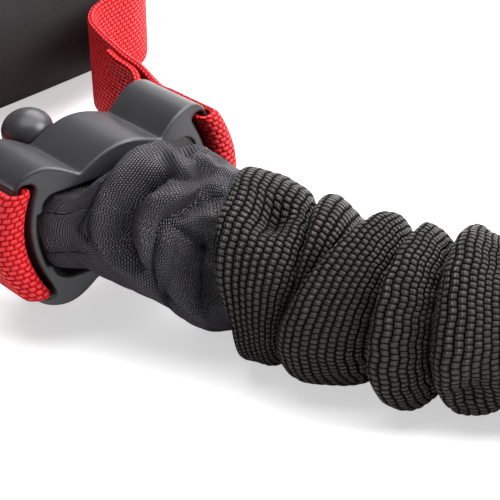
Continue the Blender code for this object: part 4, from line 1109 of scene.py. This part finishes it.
def sewTails(rows):
    # the red stitches hold the tail inside the leg
    work = bmesh.new()
    half, edge = tailSeam["half"], tailSeam["edge"]
    for sign in (1, -1):
        span = [i for i, row in enumerate(rows) if sign * (row[0][0] - layout["handle"].x) > 0
                and tailSeam["start"] < row[0][1] - layout["handle"].y < tailSeam["end"]]
        # the tail comes first on the one side, and last on the other
        runs = np.split(span, np.flatnonzero(np.diff(span) > 1) + 1)
        leg = [rows[i] for i in (runs[-1] if sign > 0 else runs[0][::-1])]
        places = [row[0][1] for row in leg]

        def onLeg(place, height, leg=leg, places=places, sign=sign):
            centre, up, out, bowed = leg[min(np.searchsorted(places, place), len(leg) - 1)]
            out = out if out[0] * sign > 0 else -out
            return Vector(centre + height * up + strap["thick"] / 2 * out + bowed(height)), Vector(out)

        first, last = places[0], places[-1]
        lines = [((first, side * half), (last, side * half)) for side in (-1, 1)]
        lines += [((place, -half), (place, half)) for place in (first, last)]
        lines += [((first, -half), (last, half)), ((first, half), (last, -half))]
        for start, end in lines:
            count = max(1, round(dist(start, end) / tailSeam["stitch"]))
            for k in range(count):
                ends = [onLeg(*(a + (b - a) * t for a, b in zip(start, end)))
                        for t in ((k + edge) / count, (k + 1 - edge) / count)]
                addStitch(work, ends[0][0], ends[1][0], ends[0][1], tailSeam["thick"])
    return addPiece(meshFrom(work, "strapStitches_a"), redThreadMaterial)


foldPoint = fromConnector(0, connector["depth"] / 2 + sweepBack(connector["endOut"]), 0)
for piece in makeStrap():
    for suffix, there in onBothHandles(piece):
        if piece.name == "handleWebbing_a":
            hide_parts("handle_strap_" + suffix)
        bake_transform(there)
print("straps made")


# anchor loop inside the cuff, from the toggle to the plug's eye
loop = {"width": 0.010, "thick": 0.0012, "eyeBar": 0.0016, "eyeReach": 0.068, "gap": 0.0003, "row": 0.0015}


def onHeading(reach):
    # the height of the leaning connector's middle plane, over the toggle's heading
    return togglePoint.z + reach * cos(layout["heading"]) * tan(layout["lean"])


def makeLoop():
    # reach, height and lean of the loop's middle
    stations = [
        (0, onHeading(0), 1), (0.017, onHeading(0.017), 1), (0.034, onHeading(0.034) - 0.0006, 1),
        (0.0385, 0.0266, 0.7), (0.043, 0.0250, 0.4), (0.052, 0.0214, 0.1), (0.060, 0.0191, 0),
        (loop["eyeReach"], layout["sleeveHeight"], 0),
    ]
    line, _ = curveThrough([(*aheadOfToggle(reach, height), lean) for reach, height, lean in stations],
                           loop["row"])
    line, leans = line[:, :3], line[:, 3]
    atToggle = toggle["waist"] + loop["gap"] + loop["thick"] / 2
    atEye = 1.15 * loop["eyeBar"] + loop["gap"] + loop["thick"] / 2
    side, heading = np.array(sideLine), np.array(headingLine)
    apart = np.linspace(atToggle, atEye, len(line))[:, None] * side
    turns = np.linspace(0, pi, 13)[1:-1]
    places = list(zip(line - apart, leans))
    places += [(line[-1] + atEye * (-cos(a) * side + sin(a) * heading), 0.0) for a in turns]
    places += list(zip((line + apart)[::-1], leans[::-1]))
    places += [(line[0] + atToggle * (cos(a) * side - sin(a) * heading), 1.0) for a in turns]
    rows = []
    for i, (place, lean) in enumerate(places):
        step = places[(i + 1) % len(places)][0] - places[i - 1][0]
        rows.append(bandRow(place, step, lean, lambda height: np.zeros(3)))
    return bandPiece("anchorTape_a", rows, loop["width"], loop["thick"], tapeMaterial, closed=True)


for suffix, tape in onBothHandles(makeLoop()):
    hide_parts("anchor_loop_" + suffix)
    blendToTube(tape, suffix)
print("anchor tapes made")


# grip: foam over a hard core, with a collar on each end
grip = {
    "foamRadius": 0.018, "foamLength": 0.088, "coreBore": 0.0129, "coreRadius": 0.0142,
    "capRadius": 0.0168, "capLength": 0.006, "shoulder": 0.002, "gap": 0.0003, "soft": 0.003,
    "belly": 0.0003, "coreRound": 0.0003, "capRound": 0.0008,
}


def gripPart(name, profile, across, turn, material):
    place = layout["handle"] + Vector((across, layout["gripReach"], layout["gripHeight"]))
    matrix = Matrix.Translation(place) @ Matrix.Rotation(turn * pi / 2, 4, "Y")
    return turnedPiece(name, profile, matrix, material, closed=True)


def makeGrip():
    # each part with its node and its slot
    g = grip
    half, seat = g["foamLength"] / 2, g["coreRadius"] + g["gap"]
    wide, bore = g["foamRadius"], g["coreBore"]
    long = half - g["soft"]
    barrel = [(wide - g["belly"] * abs(t) ** 3, t * long) for t in np.linspace(1, -1, 25)]
    corner = [(wide - g["belly"] - g["soft"] + g["soft"] * sin(a), long + g["soft"] * cos(a))
              for a in np.linspace(0, pi / 2, 9)]
    foam = [(seat, half)] + corner[:-1] + barrel + [(x, -z) for x, z in corner[-2::-1]] + [(seat, -half)]
    inner = g["capLength"] - g["shoulder"]
    coreEnd = half + inner
    core = roundedProfile([(bore, coreEnd), (g["coreRadius"], coreEnd), (g["coreRadius"], -coreEnd),
                           (bore, -coreEnd)], g["coreRound"], 3, True)
    collar = roundedProfile([(bore, g["capLength"]), (g["capRadius"], g["capLength"]), (g["capRadius"], 0),
                             (seat, 0), (seat, inner), (bore, inner)], g["capRound"], 5, True)
    end = half + g["gap"]
    return [
        (gripPart("gripFoam_a", foam, 0, 1, foamMaterial), "grip_foam_a", "foam"),
        (gripPart("gripCore_a", core, 0, 1, hardMaterial), "grip_core_a", "hard_plastic"),
        (gripPart("gripCollar_a_right", collar, end, 1, hardMaterial), "grip_cap_a_right", "hard_plastic"),
        (gripPart("gripCollar_a_left", collar, -end, -1, hardMaterial), "grip_cap_a_left", "hard_plastic"),
    ]


for part, node, slotName in makeGrip():
    for suffix, there in onBothHandles(part):
        dress(there, node.replace("_a", "_" + suffix), "grip_" + suffix, slotName)
print("grips made")


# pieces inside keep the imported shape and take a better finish
inside = {
    "latex_tube": latexMaterial, "crimp_ring_a": steelMaterial, "crimp_ring_b": steelMaterial,
    "tube_plug_a": hardMaterial, "tube_plug_b": hardMaterial,
}
for node, material in inside.items():
    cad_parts[node].data.materials.clear()
    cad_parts[node].data.materials.append(material)
print("inner pieces finished")


# studio: a pale floor, soft lamps behind, above and on the right, and an even surround
studio = {
    "floor": "#f1f1f2", "floorHalf": 6, "glow": (0.0, 1.0, 0.9, 2.2), "lift": 0.55, "surround": 0.18,
    "target": Vector((-0.18, -0.05, 0.0)),
    # place, width, depth and power
    "lamps": {
        "lampBehind": ((0.90, 0.68, 0.95), 1.5, 1.0, 30.0),
        "lampAbove": ((-0.10, 0.05, 1.25), 1.2, 1.0, 16.0),
        "lampRight": ((0.55, -0.62, 0.80), 0.7, 0.7, 22.0),
    },
}


def layFloor():
    m = newNodes("paleFloor", Roughness=0.8, Base_Color=srgb(studio["floor"]), Emission_Color=(1, 1, 1, 1))
    far = m.add("VectorMath", {0: m.objectPlace()}, operation="LENGTH").outputs["Value"]
    # the camera sees the floor brighter than the object does, so its shadow stays pale
    lift = m.calc("MULTIPLY", m.add("LightPath").outputs["Is Camera Ray"], studio["lift"])
    m.feed(Emission_Strength=m.calc("MAXIMUM", m.between(far, *studio["glow"]), lift))
    work = bmesh.new()
    bmesh.ops.create_grid(work, x_segments=1, y_segments=1, size=studio["floorHalf"])
    addPiece(meshFrom(work, "studioFloor"), m.owner)


layFloor()
# white past the floor's edge, and plain light for everything else
surround = Nodes(bpy.data.worlds.new("surround"), Color=(1, 1, 1, 1))
seen = surround.add("LightPath").outputs["Is Camera Ray"]
surround.feed(Strength=surround.calc("MAXIMUM", seen, studio["surround"]))
bpy.context.scene.world = surround.owner
for name, (place, width, depth, power) in studio["lamps"].items():
    lamp = bpy.data.lights.new(name, "AREA")
    lamp.shape = "RECTANGLE"
    lamp.size, lamp.size_y, lamp.energy = width, depth, power
    holder = addObject(name, lamp)
    holder.location = place
    holder.rotation_euler = (studio["target"] - Vector(place)).to_track_quat("-Z", "Y").to_euler()
bpy.context.scene.view_settings.view_transform = "Standard"
print("studio set")
